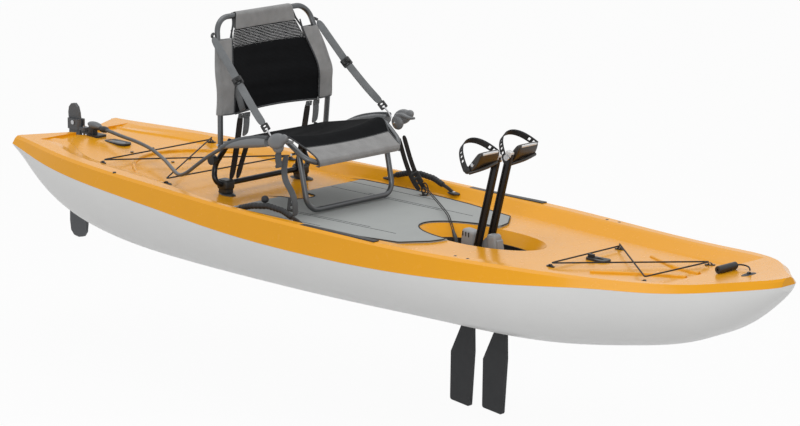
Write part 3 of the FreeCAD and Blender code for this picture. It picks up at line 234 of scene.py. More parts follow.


# ---- Cockpit mat --------------------------------------------------------------------------
# Closed-cell EVA foam, cut by router from sheet, brushed matt and stuck to the cockpit floor.
# A dark line all round the cut edge and the fine lines routed along each side are painted shade
# in the bevelled cut and in the grooves.
eva_foam = moulded_plastic("eva_foam", "#9EA1A0", roughness=0.82, cloud=0.05, grain_mm=1.8,
                           depth=0.5, sheen=0.25)
# Near-black for the mat's edge line and groove lines: painted shade.
groove_painted_shade = moulded_plastic("groove_painted_shade", "#2C2F30", roughness=0.9, grain_mm=1.0)
dress(eva_foam, "cockpit_mat")


def eased(points, reach):
    """Control points of a line whose corners are rounded over a short reach."""
    points = [Vector(p) for p in points]
    out = [points[0]]
    for before, corner, after in zip(points, points[1:], points[2:]):
        for other in (before, after):
            step = (other - corner).normalized() * min(reach, (other - corner).length * 0.45)
            if other is after:
                out.append(corner)
            out.append(corner + step)
    return out + [points[-1]]


def tube(name, points, width, material, body, closed=False, girth=None):
    """A smooth round strip or bar through the points, of even or changing girth."""
    curve = bpy.data.curves.new(name, "CURVE")
    curve.dimensions = "3D"
    curve.bevel_depth = width / 2
    curve.bevel_resolution = 3
    curve.resolution_u = 6
    curve.use_fill_caps = not closed
    path = curve.splines.new("NURBS")
    path.points.add(len(points) - 1)
    for number, point in enumerate(points):
        path.points[number].co = (*point, 1)
        path.points[number].radius = girth[number] if girth else 1.0
    path.order_u = 3
    path.use_endpoint_u = not closed
    path.use_cyclic_u = closed
    curve.materials.append(material)
    bar = bpy.data.objects.new(name, curve)
    bpy.context.scene.collection.objects.link(bar)
    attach(bar, body)
    return bar


SIDES = (("port", 1), ("starboard", -1))
MAT_TOP = 0.2400
RING_X, RING_LONG, RING_WIDE = 0.416, 0.2640, 0.1275
mat_edge = [(-0.392, 0.0), (-0.392, 0.022), (-0.410, 0.045), (-0.470, 0.052), (-0.522, 0.098),
            (-0.540, 0.160), (-0.530, 0.310), (-0.470, 0.346), (-0.230, 0.348), (0.060, 0.316),
            (0.292, 0.272), (0.356, 0.190), (0.374, 0.126)]
for side, sign in SIDES:
    edge = eased([(x, sign * y, MAT_TOP) for x, y in mat_edge], 0.011)
    for step in range(1, 13):
        angle = math.radians(99 + step * 81 / 12)
        edge.append(Vector((RING_X + RING_LONG * math.cos(angle),
                            sign * RING_WIDE * math.sin(angle), MAT_TOP)))
    # The dark edge line is painted shade in the bevelled cut.
    tube(f"mat_edge_line_{side}", edge, 0.0042, groove_painted_shade, "hull")
    for number, (back, fore, out) in enumerate(((-0.505, -0.06, 0.292), (-0.470, 0.07, 0.186),
                                                (-0.300, 0.20, 0.198))):
        long_line = [(back, sign * out, MAT_TOP + 0.0001),
                     (fore, sign * (out - 0.012), MAT_TOP + 0.0001)]
        tube(f"mat_side_line_{side}_{number}", long_line, 0.0016, groove_painted_shade, "hull")


# ---- Frames -------------------------------------------------------------------------------
# Bent aluminium tube, anodised dark grey for the seat, its back and its front leg, and gloss
# black for the rear frame and the cranks. Pins, bolts and masts are stainless steel.


def coated_metal(name, colour, metallic, roughness, streak_mm=0.8):
    """Anodised or coated metal with faint draw lines."""
    material, tree = blank_material(name)
    place = add(tree, "TexCoord")
    spots = add(tree, "TexNoise", {"Vector": place.outputs["Object"],
                                   "Scale": 1000 / streak_mm, "Detail": 3.0})
    rough = add(tree, "MapRange", {0: spots.outputs[0], 3: roughness - 0.05,
                                   4: roughness + 0.08})
    bump = add(tree, "Bump", {"Height": spots.outputs[0], "Strength": 0.06,
                              "Distance": 0.0001})
    shader = add(tree, "BsdfPrincipled", {
        "Base Color": srgb(colour), "Metallic": metallic, "Roughness": rough.outputs[0],
        "Normal": bump.outputs[0]})
    add(tree, "OutputMaterial", {"Surface": shader.outputs[0]})
    return material


gunmetal_anodised = coated_metal("gunmetal_anodised", "#5E6062", 0.75, 0.34)
black_anodised = coated_metal("black_anodised", "#232325", 0.6, 0.30)
stainless = coated_metal("stainless", "#B9BABC", 1.0, 0.28)
dress(gunmetal_anodised, "seat_base_frame", "back_frame", "seat_front_leg")
dress(black_anodised, "seat_rear_frame", "crank_arm_starboard", "crank_arm_port")
dress(stainless, "rudder_pin", "seat_bolts", "crank_axle", "fin_shaft", "rudder_pivot_bolt",
      "pedal_spindle_starboard", "pedal_spindle_port", "fin_mast_front", "fin_mast_rear")


# ---- Seat fabric --------------------------------------------------------------------------
# Black polyester mesh fills the back and the base. Grey nylon cloth makes the side sleeves,
# the head band and the front band, and dark bias tape is sewn along the seams.


def woven_cloth(name, colour, thread_mm=1.6, span_mm=400, contrast=0.28, fuzz=0.25,
                see_through=0.0, gleam=0.25):
    """Plain weave on the piece's own UV map, whose unit is span_mm long each way."""
    material, tree = blank_material(name)
    place = add(tree, "TexCoord")
    count = span_mm / thread_mm / 2
    scaled = add(tree, "Mapping", {0: place.outputs["UV"], 3: (count, count, 1)})
    warp = add(tree, "TexWave", {"Vector": scaled.outputs[0], "Scale": 0.314,
                                 "Distortion": 0.6, "Detail": 1.0},
               bands_direction="X")
    weft = add(tree, "TexWave", {"Vector": scaled.outputs[0], "Scale": 0.314,
                                 "Distortion": 0.6, "Detail": 1.0},
               bands_direction="Y")
    weave = add(tree, "Math", {0: warp.outputs[1], 1: weft.outputs[1]}, operation="MULTIPLY")
    body_place = place.outputs["Object"]
    crease = add(tree, "TexNoise", {"Vector": body_place, "Scale": 26.0, "Detail": 4.0})
    dark = [c * (1 - contrast) for c in srgb(colour)[:3]] + [1]
    light = [min(1, c * (1 + contrast * 0.7)) for c in srgb(colour)[:3]] + [1]
    tone = add(tree, "Mix", {0: weave.outputs[0], 6: dark, 7: light}, data_type="RGBA")
    # Painted shade and light on the creases: the colour darkens where the crease noise, which
    # also bumps the cloth, dips, and lightens where it rises.
    painted_crease_shading = add(tree, "MapRange", {0: crease.outputs[0], 1: 0.3, 2: 0.7, 3: 0.86, 4: 1.1})
    shade = add(tree, "Mix", {0: 1.0, 6: tone.outputs[2], 7: painted_crease_shading.outputs[0]},
                data_type="RGBA", blend_type="MULTIPLY")
    height = add(tree, "Math", {0: crease.outputs[0], 1: 0.5, 2: weave.outputs[0]},
                 operation="MULTIPLY_ADD")
    bump = add(tree, "Bump", {"Height": height.outputs[0], "Strength": 0.5,
                              "Distance": 0.0006})
    shader = add(tree, "BsdfPrincipled", {
        "Base Color": shade.outputs[2], "Roughness": 0.85, "Sheen Weight": fuzz,
        "Sheen Roughness": 0.5, "Specular IOR Level": gleam, "Normal": bump.outputs[0]})
    surface = shader.outputs[0]
    if see_through:
        gap = add(tree, "Math", {0: weave.outputs[0], 1: see_through},
                  operation="LESS_THAN")
        clear = add(tree, "BsdfTransparent")
        surface = add(tree, "MixShader", {0: gap.outputs[0], 1: surface,
                                          2: clear.outputs[0]}).outputs[0]
    add(tree, "OutputMaterial", {"Surface": surface})
    return material


grey_nylon_cloth = woven_cloth("grey_nylon_cloth", "#8D8D8D", thread_mm=1.4, contrast=0.2)
black_mesh_cloth = woven_cloth("black_mesh_cloth", "#17181A", thread_mm=2.2, contrast=0.5,
                               fuzz=0.0, gleam=0.08)
sheer_mesh_cloth = woven_cloth("sheer_mesh_cloth", "#1F2022", thread_mm=2.8, contrast=0.5,
                               fuzz=0.0, see_through=0.012, gleam=0.1)
bias_tape = woven_cloth("bias_tape", "#4C4E50", thread_mm=1.2, span_mm=60, fuzz=0.1)
CLOTH_UNIT = 0.4  # metres of cloth that one unit of its UV map spans


def thicken(piece, thick, rounds=0):
    """Gives a sheet its thickness, half on each side, and smooths it if rounds are asked."""
    solid = piece.modifiers.new("thickness", "SOLIDIFY")
    solid.thickness = thick
    solid.offset = 0
    if rounds:
        soft = piece.modifiers.new("smooth", "SUBSURF")
        soft.levels = soft.render_levels = rounds


def cloth(name, material, across, along_it, place, body, thick=0.0018,
          wide=0.4, tall=0.4):
    """A sheet whose point (u, v), each from 0 to 1, is put where place(u, v) says."""
    mesh = bmesh.new()
    mesh.loops.layers.uv.new("weave")
    bmesh.ops.create_grid(mesh, x_segments=across, y_segments=along_it, size=0.5,
                          calc_uvs=True)
    layer = mesh.loops.layers.uv.active
    for face in mesh.faces:
        for loop in face.loops:
            loop[layer].uv = ((loop.vert.co.x + 0.5) * wide / CLOTH_UNIT,
                              (loop.vert.co.y + 0.5) * tall / CLOTH_UNIT)
    for vert in mesh.verts:
        vert.co = place(vert.co.x + 0.5, vert.co.y + 0.5)
    bmesh.ops.recalc_face_normals(mesh, faces=mesh.faces)
    piece = new_piece(name, mesh, material)
    thicken(piece, thick, 1)
    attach(piece, body)
    return piece


def ease(t):
    t = max(0.0, min(1.0, t))
    return t * t * (3 - 2 * t)


def side_tube(z):
    """Centre of the back frame's side tube at a height: how far aft and how far out."""
    low = Vector((-0.567 + (z - 0.424) * 0.0509, 0.252 + (z - 0.424) * 0.0463))
    high = Vector((-0.556 - (z - 0.640) * 0.2973, 0.262 - (z - 0.640) * 0.2162))
    return low.lerp(high, ease((z - 0.60) / 0.08))


def seam_half(z):
    """Half width of the mesh panel at a height."""
    return 0.203 - 0.040 * ease((z - 0.64) / 0.19)


def back_point(y, z):
    """A point of the back's panel, bowed aft between the side tubes."""
    aft = side_tube(z)[0] + 0.009
    share = 1 - (y / 0.210) ** 2
    bow = 0.030 * share * (0.55 + 0.45 * math.sin((z - 0.53) * 11))
    return Vector((aft - bow, y, z))


def back_low(y):
    return 0.538 + 0.006 * (1 - (y / 0.2) ** 2)


def mesh_panel(u, v):
    low = back_low(0.39 * (u - 0.5))
    z = low + (0.757 - low) * v
    y = (2 * u - 1) * seam_half(z)
    ripple = 0.0012 * math.sin(v * 34 + 3 * u) * math.sin(u * math.pi)
    return back_point(y, z) + Vector((ripple, 0, 0))


def sheer_panel(u, v):
    z = 0.755 + 0.064 * v
    y = (2 * u - 1) * (seam_half(z) - 0.016 * v)
    return back_point(y, z) + Vector((0.002 * math.sin(u * 19) * math.sin(v * 3), 0, 0))


def head_band(u, v):
    """From the front of the band's hem, up over the top bar and down behind it."""
    turn = (v - 0.5) * 2
    y = (2 * u - 1) * (0.129 + 0.014 * abs(turn))
    if abs(turn) < 0.5:
        angle = turn * math.pi
        return Vector((-0.622 - 0.0125 * math.sin(angle), y, 0.862 + 0.0125 * math.cos(angle)))
    drop = (abs(turn) - 0.5) * 2
    spread = 0.0125 if turn < 0 else -0.0125
    hem = back_point(y, 0.817)
    start = Vector((-0.622 + spread, y, 0.862))
    return start.lerp(hem + Vector((0.004 if turn < 0 else -0.003, 0, 0)), drop)


back_mesh = cloth("back_mesh", black_mesh_cloth, 26, 20, mesh_panel, "seat_back",
                  wide=0.39, tall=0.22)
cloth("sheer_mesh", sheer_mesh_cloth, 24, 6, sheer_panel, "seat_back",
      thick=0.001, wide=0.33, tall=0.07)
band = cloth("head_band", grey_nylon_cloth, 20, 28, head_band, "seat_back",
             wide=0.28, tall=0.13)
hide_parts("back_headband")
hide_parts("back_sling")

for side, sign in SIDES:
    def sleeve(u, v, sign=sign):
        """Round the side tube and in to the seam, front face first."""
        z = 0.541 + 0.250 * v
        aft, out = side_tube(z)
        inner = seam_half(z) - 0.003
        turn = (u - 0.5) * 2
        puff = 0.0125 + 0.002 * math.sin(v * 9 + 4 * u)
        if abs(turn) < 0.55:
            angle = turn / 0.55 * math.radians(105)
            return Vector((aft - puff * math.sin(angle), sign * (out + puff * math.cos(angle)),
                           z))
        run = (abs(turn) - 0.55) / 0.45
        face = -1 if turn < 0 else 1
        start = Vector((aft - face * puff * math.sin(math.radians(105)),
                        sign * (out + puff * math.cos(math.radians(105))), z))
        end = back_point(sign * inner, z) + Vector((-face * 0.0024, 0, 0))
        sag = Vector((-face * 0.003 * math.sin(run * math.pi), 0, 0))
        return start.lerp(end, run) + sag

    cloth(f"back_sleeve_{side}", grey_nylon_cloth, 30, 16, sleeve, "seat_back",
          wide=0.17, tall=0.25)
    seam = [back_point(sign * seam_half(z), z) + Vector((0.0035, 0, 0))
            for z in (0.541, 0.58, 0.62, 0.66, 0.70, 0.74, 0.77, 0.793, 0.818)]
    tube(f"back_piping_{side}", seam, 0.0055, bias_tape, "seat_back")
    strut = [(-0.628, sign * 0.137, 0.871), (-0.615, sign * 0.143, 0.845),
             (-0.611, sign * 0.150, 0.822), (-0.600, sign * 0.170, 0.792)]
    tube(f"corner_tape_{side}", strut, 0.007, bias_tape, "seat_back")
    cuff = [(side_tube(0.543)[0] + 0.0135, sign * 0.258, 0.543),
            back_point(sign * 0.225, 0.541) + Vector((0.006, 0, 0)),
            back_point(sign * 0.195, 0.540) + Vector((0.003, 0, 0))]
    tube(f"sleeve_hem_{side}", cuff, 0.0045, bias_tape, "seat_back")
hem = [back_point(y, back_low(y)) + Vector((0.002, 0, 0))
       for y in (-0.195, -0.15, -0.10, -0.05, 0, 0.05, 0.10, 0.15, 0.195)]
tube("back_hem", hem, 0.006, bias_tape, "seat_back")


def rail_top(x):
    """Top of the seat base's side rail at a distance forward."""
    rise = 0.4455 + (x + 0.580) * 0.191
    fall = 0.5055 - (x + 0.266) * 0.66
    return rise + (fall - rise) * ease((x + 0.315) / 0.10)


def seat_half(x):
    """Half width of the seat cloth: out to the rails, then cut in at the front corners."""
    return 0.228 - 0.032 * ease((x + 0.262) / 0.065)


def seat_mesh(u, v):
    x = -0.556 + 0.350 * v
    y = (2 * u - 1) * seat_half(x)
    middle = 1 - (2 * u - 1) ** 2
    hollow = 0.026 * middle * math.sin(math.pi * min(1, v)) ** 0.7 + SEAM_SAG * middle * v ** 3
    return Vector((x, y, rail_top(x) + 0.0015 - hollow
                   + 0.0010 * math.sin(v * 30 + u * 4) * math.sin(math.pi * u)))


FRONT = ((-0.210, 0.4700), (-0.196, 0.4632), (-0.179, 0.4530), (-0.162, 0.4425),
         (-0.1500, 0.4340), (-0.1462, 0.4240), (-0.1500, 0.4140), (-0.160, 0.4100),
         (-0.170, 0.4120))
SEAM_SAG = 0.007


def front_band(u, v):
    """From the seam down over the front bar and tucked under it."""
    step = v * (len(FRONT) - 1)
    number = min(int(step), len(FRONT) - 2)
    (x0, z0), (x1, z1) = FRONT[number], FRONT[number + 1]
    share = step - number
    x = x0 + (x1 - x0) * share
    middle = 1 - (2 * u - 1) ** 2
    sag = SEAM_SAG * middle * (1 - ease(v * 1.6))
    wide = seat_half(-0.212) + (0.193 - seat_half(-0.212)) * min(1, v * 1.6)
    return Vector((x, (2 * u - 1) * wide, z0 + (z1 - z0) * share - sag))


seat_cloth = cloth("seat_mesh", black_mesh_cloth, 30, 24, seat_mesh, "hull",
                   wide=0.46, tall=0.35)
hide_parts("seat_sling")
cloth("seat_front_band", grey_nylon_cloth, 30, 24, front_band, "hull",
      wide=0.40, tall=0.11)
for side, sign in SIDES:
    side_hem = [(x, sign * (seat_half(x) + 0.001), rail_top(x) + 0.001)
                for x in (-0.300, -0.270, -0.240, -0.215)]
    side_hem += [(-0.185, sign * 0.197, 0.4570), (-0.160, sign * 0.194, 0.4415),
                 (-0.1462, sign * 0.193, 0.424), (-0.152, sign * 0.193, 0.411)]
    tube(f"seat_piping_{side}", side_hem, 0.0055, bias_tape, "hull")
front_seam = [front_band(u / 10, 0.0) + Vector((0.001, 0, 0.0012)) for u in range(11)]
tube("seat_front_seam", front_seam, 0.0025, bias_tape, "hull")


# ---- Webbing ------------------------------------------------------------------------------
# Flat polyester webbing about 25 mm wide: recline straps with ladder buckles and hooks, stays
# from the back to the rear bar, and tie-downs from the seat's front to the deck rings.
webbing_weave = woven_cloth("webbing_weave", "#7B7E80", thread_mm=1.5, span_mm=100,
                            contrast=0.35)
black_webbing = woven_cloth("black_webbing", "#2A2624", thread_mm=1.5, span_mm=100,
                            contrast=0.35)
tie_webbing = woven_cloth("tie_webbing", "#5A5C5E", thread_mm=1.5, span_mm=100,
                            contrast=0.35)
WEBBING_UNIT = 0.1  # metres of strap that one unit of its UV map spans
WEBBING_THICK = 0.0018
BUCKLE_THICK = 0.006


def webbing(name, centres, across, width, material):
    """A flat strap along the centres, each with the direction of its width."""
    mesh = bmesh.new()
    layer = mesh.loops.layers.uv.new("weave")
    centres = [Vector(c) for c in centres]
    half = [Vector(a).normalized() * width / 2 for a in across]
    ends = [mesh.verts.new(centres[0] + share * half[0]) for share in (-1, 1)]
    edge = mesh.edges.new(ends)
    run = 0.0
    for number in range(1, len(centres)):
        grown = bmesh.ops.extrude_edge_only(mesh, edges=[edge])["geom"]
        edge = next(g for g in grown if isinstance(g, bmesh.types.BMEdge))
        face = next(g for g in grown if isinstance(g, bmesh.types.BMFace))
        step = (centres[number] - centres[number - 1]).length
        old = set(face.verts) - set(edge.verts)
        for vert in edge.verts:
            share = 1 if (vert.co - centres[number - 1]).dot(half[number - 1]) > 0 else -1
            vert.co = centres[number] + share * half[number]
        for loop in face.loops:
            reach = loop.vert.co - centres[number - 1 if loop.vert in old else number]
            sideways = 0.0 if reach.dot(half[number]) < 0 else width
            along = run if loop.vert in old else run + step
            loop[layer].uv = (sideways / WEBBING_UNIT, along / WEBBING_UNIT)
        run += step
    strap = new_piece(name, mesh, material)
    thicken(strap, WEBBING_THICK, 2)
    return strap


def ladder_buckle(name, centre, heading, face, size=(0.030, 0.036), material=None):
    """A moulded slider: a rounded frame with one bar across its middle."""
    mesh = bmesh.new()
    bmesh.ops.create_grid(mesh, x_segments=3, y_segments=5, size=0.5)
    holes = [f for f in mesh.faces if abs(f.calc_center_median().x) < 0.1
             and 0.1 < abs(f.calc_center_median().y) < 0.35]
    bmesh.ops.delete(mesh, geom=holes, context="FACES")
    bmesh.ops.scale(mesh, verts=mesh.verts, vec=(*size, 1))
    along_it = Vector(heading).normalized()
    up = Vector(face).normalized()
    sideways = along_it.cross(up).normalized()
    turn = Matrix((sideways, along_it, sideways.cross(along_it))).transposed().to_4x4()
    bmesh.ops.transform(mesh, matrix=Matrix.Translation(centre) @ turn, verts=mesh.verts)
    buckle = new_piece(name, mesh, material or black_nylon)
    thicken(buckle, BUCKLE_THICK, 2)
    return buckle


# Both recline straps turn their broad faces to the starboard bow.
BROAD_FACE = Vector((0.675, -0.700, 0.237))
recline = ((-0.606, 0.250, 0.806), (-0.566, 0.252, 0.768), (-0.514, 0.256, 0.720),
           (-0.470, 0.260, 0.676), (-0.428, 0.266, 0.638), (-0.386, 0.272, 0.598),
           (-0.350, 0.278, 0.566), (-0.322, 0.281, 0.542))
for side, sign in SIDES:
    centres = [Vector((x, sign * y, z - 0.007 * math.sin(n / 7 * math.pi)))
               for n, (x, y, z) in enumerate(recline)]
    run = (centres[-1] - centres[0]).normalized()
    broad = run.cross(BROAD_FACE).normalized()
    outward = broad.cross(run).normalized()
    if outward.dot(BROAD_FACE) < 0:
        outward = -outward
    strap = webbing(f"recline_webbing_{side}", centres, [broad] * 8, 0.028, webbing_weave)
    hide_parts(f"recline_strap_{side}")
    loose = [c + outward * (0.0035 + 0.010 * math.sin(n / 4 * math.pi))
             for n, c in enumerate(centres[3:8])]
    doubled = webbing(f"recline_tail_{side}", loose, [broad] * 5, 0.027, webbing_weave)
    slider = ladder_buckle(f"recline_slider_{side}", centres[3] + outward * 0.004, run, outward,
                           (0.036, 0.034))
    keeper = ladder_buckle(f"recline_keeper_{side}", centres[3] + outward * 0.013, run, outward,
                           (0.030, 0.013))
    for piece in (strap, doubled, slider, keeper):
        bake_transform(piece)
    clip = ladder_buckle(f"recline_clip_{side}", (-0.316, sign * 0.281, 0.536), run, outward,
                         (0.028, 0.030))
    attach(clip, "hull")
    hook = [(-0.309, sign * 0.282, 0.530), (-0.300, sign * 0.283, 0.524),
            (-0.290, sign * 0.284, 0.514), (-0.283, sign * 0.284, 0.505),
            (-0.277, sign * 0.284, 0.497)]
    tube(f"recline_hook_{side}", hook, 0.006, stainless, "hull")
    anchor = [(-0.604, sign * 0.252, 0.804), (-0.613, sign * 0.246, 0.811),
              (-0.614, sign * 0.236, 0.812)]
    tube(f"recline_anchor_{side}", anchor, 0.010, bias_tape, "seat_back")

# Two pairs of stays hang from the back's hem: the grey ones stop at the seat's rear bar, the
# black ones go on to the bar at the deck.
stays = (("grey_starboard", (-0.571, -0.125, 0.534), (-0.579, -0.126, 0.448), webbing_weave),
         ("grey_port", (-0.571, 0.209, 0.534), (-0.579, 0.209, 0.448), webbing_weave),
         ("black_starboard", (-0.571, -0.152, 0.534), (-0.617, -0.156, 0.290), black_webbing),
         ("black_port", (-0.571, 0.172, 0.534), (-0.617, 0.160, 0.290), black_webbing))
for label, upper, lower, material in stays:
    upper, lower = Vector(upper), Vector(lower)
    path = [upper.lerp(lower, n / 5) + Vector((0.004 * math.sin(n * 0.63), 0, 0))
            for n in range(6)]
    across = [(0.25, 1 - 0.1 * n, 0.05 * n) for n in range(6)]
    stay = webbing(f"back_stay_{label}", path, across, 0.026, material)
    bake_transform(stay)
    if label == "black_port":
        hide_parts("back_stay_straps")
    knot = ladder_buckle(f"stay_slider_{label}", upper + Vector((0.003, 0, -0.010)),
                         (lower - upper), (1, 0, 0), (0.030, 0.018), webbing_weave)
    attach(knot, "seat_back")
lower_stay = webbing("seat_stay_starboard", [(-0.580, -0.104, 0.446), (-0.596, -0.108, 0.392),
                                             (-0.610, -0.118, 0.338), (-0.617, -0.126, 0.290)],
                     [(0.2, 1, 0.2)] * 4, 0.026, black_webbing)
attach(lower_stay, "hull")
slack_loop = webbing("back_strap_loop", [(-0.552, -0.192, 0.640), (-0.545, -0.190, 0.606),
                                         (-0.538, -0.182, 0.574), (-0.543, -0.170, 0.550),
                                         (-0.556, -0.158, 0.544)],
                     [(0.3, 0.9, 0.1), (0.6, 0.7, 0.1), (0.8, 0.5, 0.2), (0.5, 0.8, 0.2),
                      (0.2, 0.9, 0.2)], 0.024, webbing_weave)
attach(slack_loop, "seat_back")

# Tie-downs hold the seat's front corners to deck rings. The port one hangs as a taut black
# pair; the starboard one is slack, and its tail hangs twisted from the frame's corner.
tie_port = ((-0.206, 0.258, 0.447), (-0.198, 0.262, 0.420), (-0.190, 0.272, 0.372),
            (-0.182, 0.284, 0.330), (-0.175, 0.294, 0.300), (-0.164, 0.305, 0.272),
            (-0.152, 0.311, 0.258))
tie_broad = Vector((0.58, 0.685, 0.37)).normalized()
for number, shift in enumerate((-0.0095, 0.0095)):
    doubled = webbing(f"tie_down_port_{number}",
                      [Vector(point) + tie_broad * shift for point in tie_port],
                      [tie_broad] * 7, 0.017, black_webbing)
    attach(doubled, "hull")
    if number == 0:
        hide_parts("tie_downs")
tie_starboard = ((-0.236, -0.262, 0.452), (-0.238, -0.270, 0.420), (-0.224, -0.285, 0.377),
                 (-0.190, -0.294, 0.352), (-0.163, -0.300, 0.330), (-0.148, -0.306, 0.296),
                 (-0.144, -0.311, 0.262))
twist = [(0.8, 0.55, 0.1), (0.7, 0.7, 0.1), (0.5, 0.75, 0.3), (0.75, 0.5, 0.4),
         (0.5, 0.8, 0.2), (0.85, 0.4, 0.1), (0.6, 0.8, 0)]
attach(webbing("tie_down_starboard", tie_starboard, twist, 0.023, tie_webbing),
        "hull")
tongue = ((-0.250, -0.284, 0.466), (-0.245, -0.292, 0.450), (-0.236, -0.299, 0.434),
          (-0.228, -0.300, 0.417), (-0.236, -0.296, 0.410), (-0.246, -0.294, 0.424))
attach(webbing("tie_down_tail", tongue, [(0.75, 0.62, 0.2)] * 6, 0.024, tie_webbing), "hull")
for side, sign in SIDES:
    slider = ladder_buckle(f"tie_down_slider_{side}", (-0.170, sign * 0.300, 0.298),
                           (0.25, sign * 0.4, -0.9), (0.5, -0.8, 0.3), (0.034, 0.050))
    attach(slider, "hull")
    loop = [(-0.150, sign * 0.312, 0.266), (-0.141, sign * 0.316, 0.257),
            (-0.145, sign * 0.315, 0.246), (-0.153, sign * 0.310, 0.247),
            (-0.154, sign * 0.309, 0.258)]
    tube(f"tie_down_ring_{side}", loop, 0.005, black_nylon, "hull",
         closed=True)


# ---- Cords --------------------------------------------------------------------------------
# Shock cord laced through the deck's pad-eyes fore and aft, the sheathed steering lines from
# the rudder to the starboard lever, the drive's doubled leash and the bow handle's cord.
braided_cover = coated_metal("braided_cover", "#1A1A1B", 0.0, 0.75, streak_mm=2.0)
sheathing = moulded_plastic("sheathing", "#44474A", roughness=0.38, grain_mm=1.5, depth=0.2)


CORD = 0.005
SHEATH = 0.013
LEASH_CORD = 0.0035
SHOCK_CORDS = {
    "stern_bungee": ((-1.161, 0.262, 0.2997), (-1.161, -0.262, 0.2997), (-0.790, 0.300, 0.2874),
                     (-0.790, -0.300, 0.2934), (-1.161, 0.262, 0.3057)),
    "bow_bungee": ((0.860, 0.168, 0.2482), (0.860, -0.168, 0.2482), (1.240, 0.160, 0.2610),
                   (1.240, -0.160, 0.2670), (0.860, 0.168, 0.2542)),
}
for label, corners in SHOCK_CORDS.items():
    cord = tube(label + "_cord", eased(corners, 6 * CORD), CORD, braided_cover, "hull")
    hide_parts(label)
BOW_CORD = ((1.433, 0.046, 0.301), (1.433, 0.060, 0.301), (1.455, 0.063, 0.302),
            (1.492, 0.040, 0.305), (1.519, 0.006, 0.307))
cord = tube("bow_cord", BOW_CORD, CORD, braided_cover, "hull")
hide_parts("bow_handle_cord")

UMBILICAL = ((-1.500, 0, 0.331), (-1.440, 0, 0.331), (-1.380, -0.016, 0.330),
             (-1.310, -0.032, 0.328), (-1.240, -0.048, 0.328), (-1.165, -0.068, 0.326),
             (-1.090, -0.092, 0.322), (-1.015, -0.124, 0.316), (-0.940, -0.164, 0.313),
             (-0.868, -0.208, 0.310), (-0.800, -0.248, 0.306), (-0.745, -0.278, 0.307),
             (-0.700, -0.288, 0.324), (-0.655, -0.291, 0.354), (-0.605, -0.292, 0.388),
             (-0.558, -0.291, 0.416), (-0.518, -0.290, 0.438))
umbilical = tube("steering_lines", UMBILICAL, SHEATH, sheathing, "hull")
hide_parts("steering_umbilical")
LEASH = ((-0.136, 0.306, 0.270), (0.140, 0.120, 0.256), (0.200, 0.074, 0.246),
         (0.262, 0.030, 0.208))
for side, shift in (("port", 0.004), ("starboard", -0.004)):
    route = [(x, y + shift, z) for x, y, z in LEASH]
    line = tube(f"drive_leash_{side}", route, LEASH_CORD, braided_cover, "hull")
    if side == "port":
        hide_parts("drive_leash")
LOOP_REACH, LOOP_RISE = 0.0168, 0.024
ring = [(-0.136 + LOOP_REACH * math.cos(n * math.pi / 4), 0.306,
         0.262 + LOOP_RISE * math.sin(n * math.pi / 4)) for n in range(8)]
tube("leash_ring", ring, 0.0045, braided_cover, "hull", closed=True)
tube("leash_hook", ((0.244, 0.040, 0.222), (0.262, 0.030, 0.208), (0.280, 0.020, 0.190),
                    (0.290, 0.012, 0.168)), 0.016, black_nylon, "hull",
     girth=(0.5, 1.0, 1.0, 0.6))


# ---- Eye pads -----------------------------------------------------------------------------
# Low oval pads of black nylon, screwed to the deck under the two pad-eyes behind the seat and
# the one at the stem.


def dome(name, centre, radii, material, body, tilt=0.0):
    """A rounded cap; tilt turns it nose down about the athwart axis, in radians."""
    mesh = bmesh.new()
    bmesh.ops.create_uvsphere(mesh, u_segments=32, v_segments=16, radius=1)
    bmesh.ops.scale(mesh, verts=mesh.verts, vec=radii)
    bmesh.ops.rotate(mesh, verts=mesh.verts, matrix=Matrix.Rotation(tilt, 3, "Y"))
    bmesh.ops.translate(mesh, verts=mesh.verts, vec=centre)
    cap = new_piece(name, mesh, material)
    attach(cap, body)
    return cap


PAD_RISE = 0.0032
for number, (x, y, z, long, wide) in enumerate((
        (-0.790, 0.300, 0.2754, 0.027, 0.013), (-0.790, -0.300, 0.2754, 0.027, 0.013),
        (1.520, 0, 0.2938, 0.014, 0.034))):
    dome(f"eye_pad_{number}", (x, y, z), (long, wide, PAD_RISE), black_nylon, "hull")


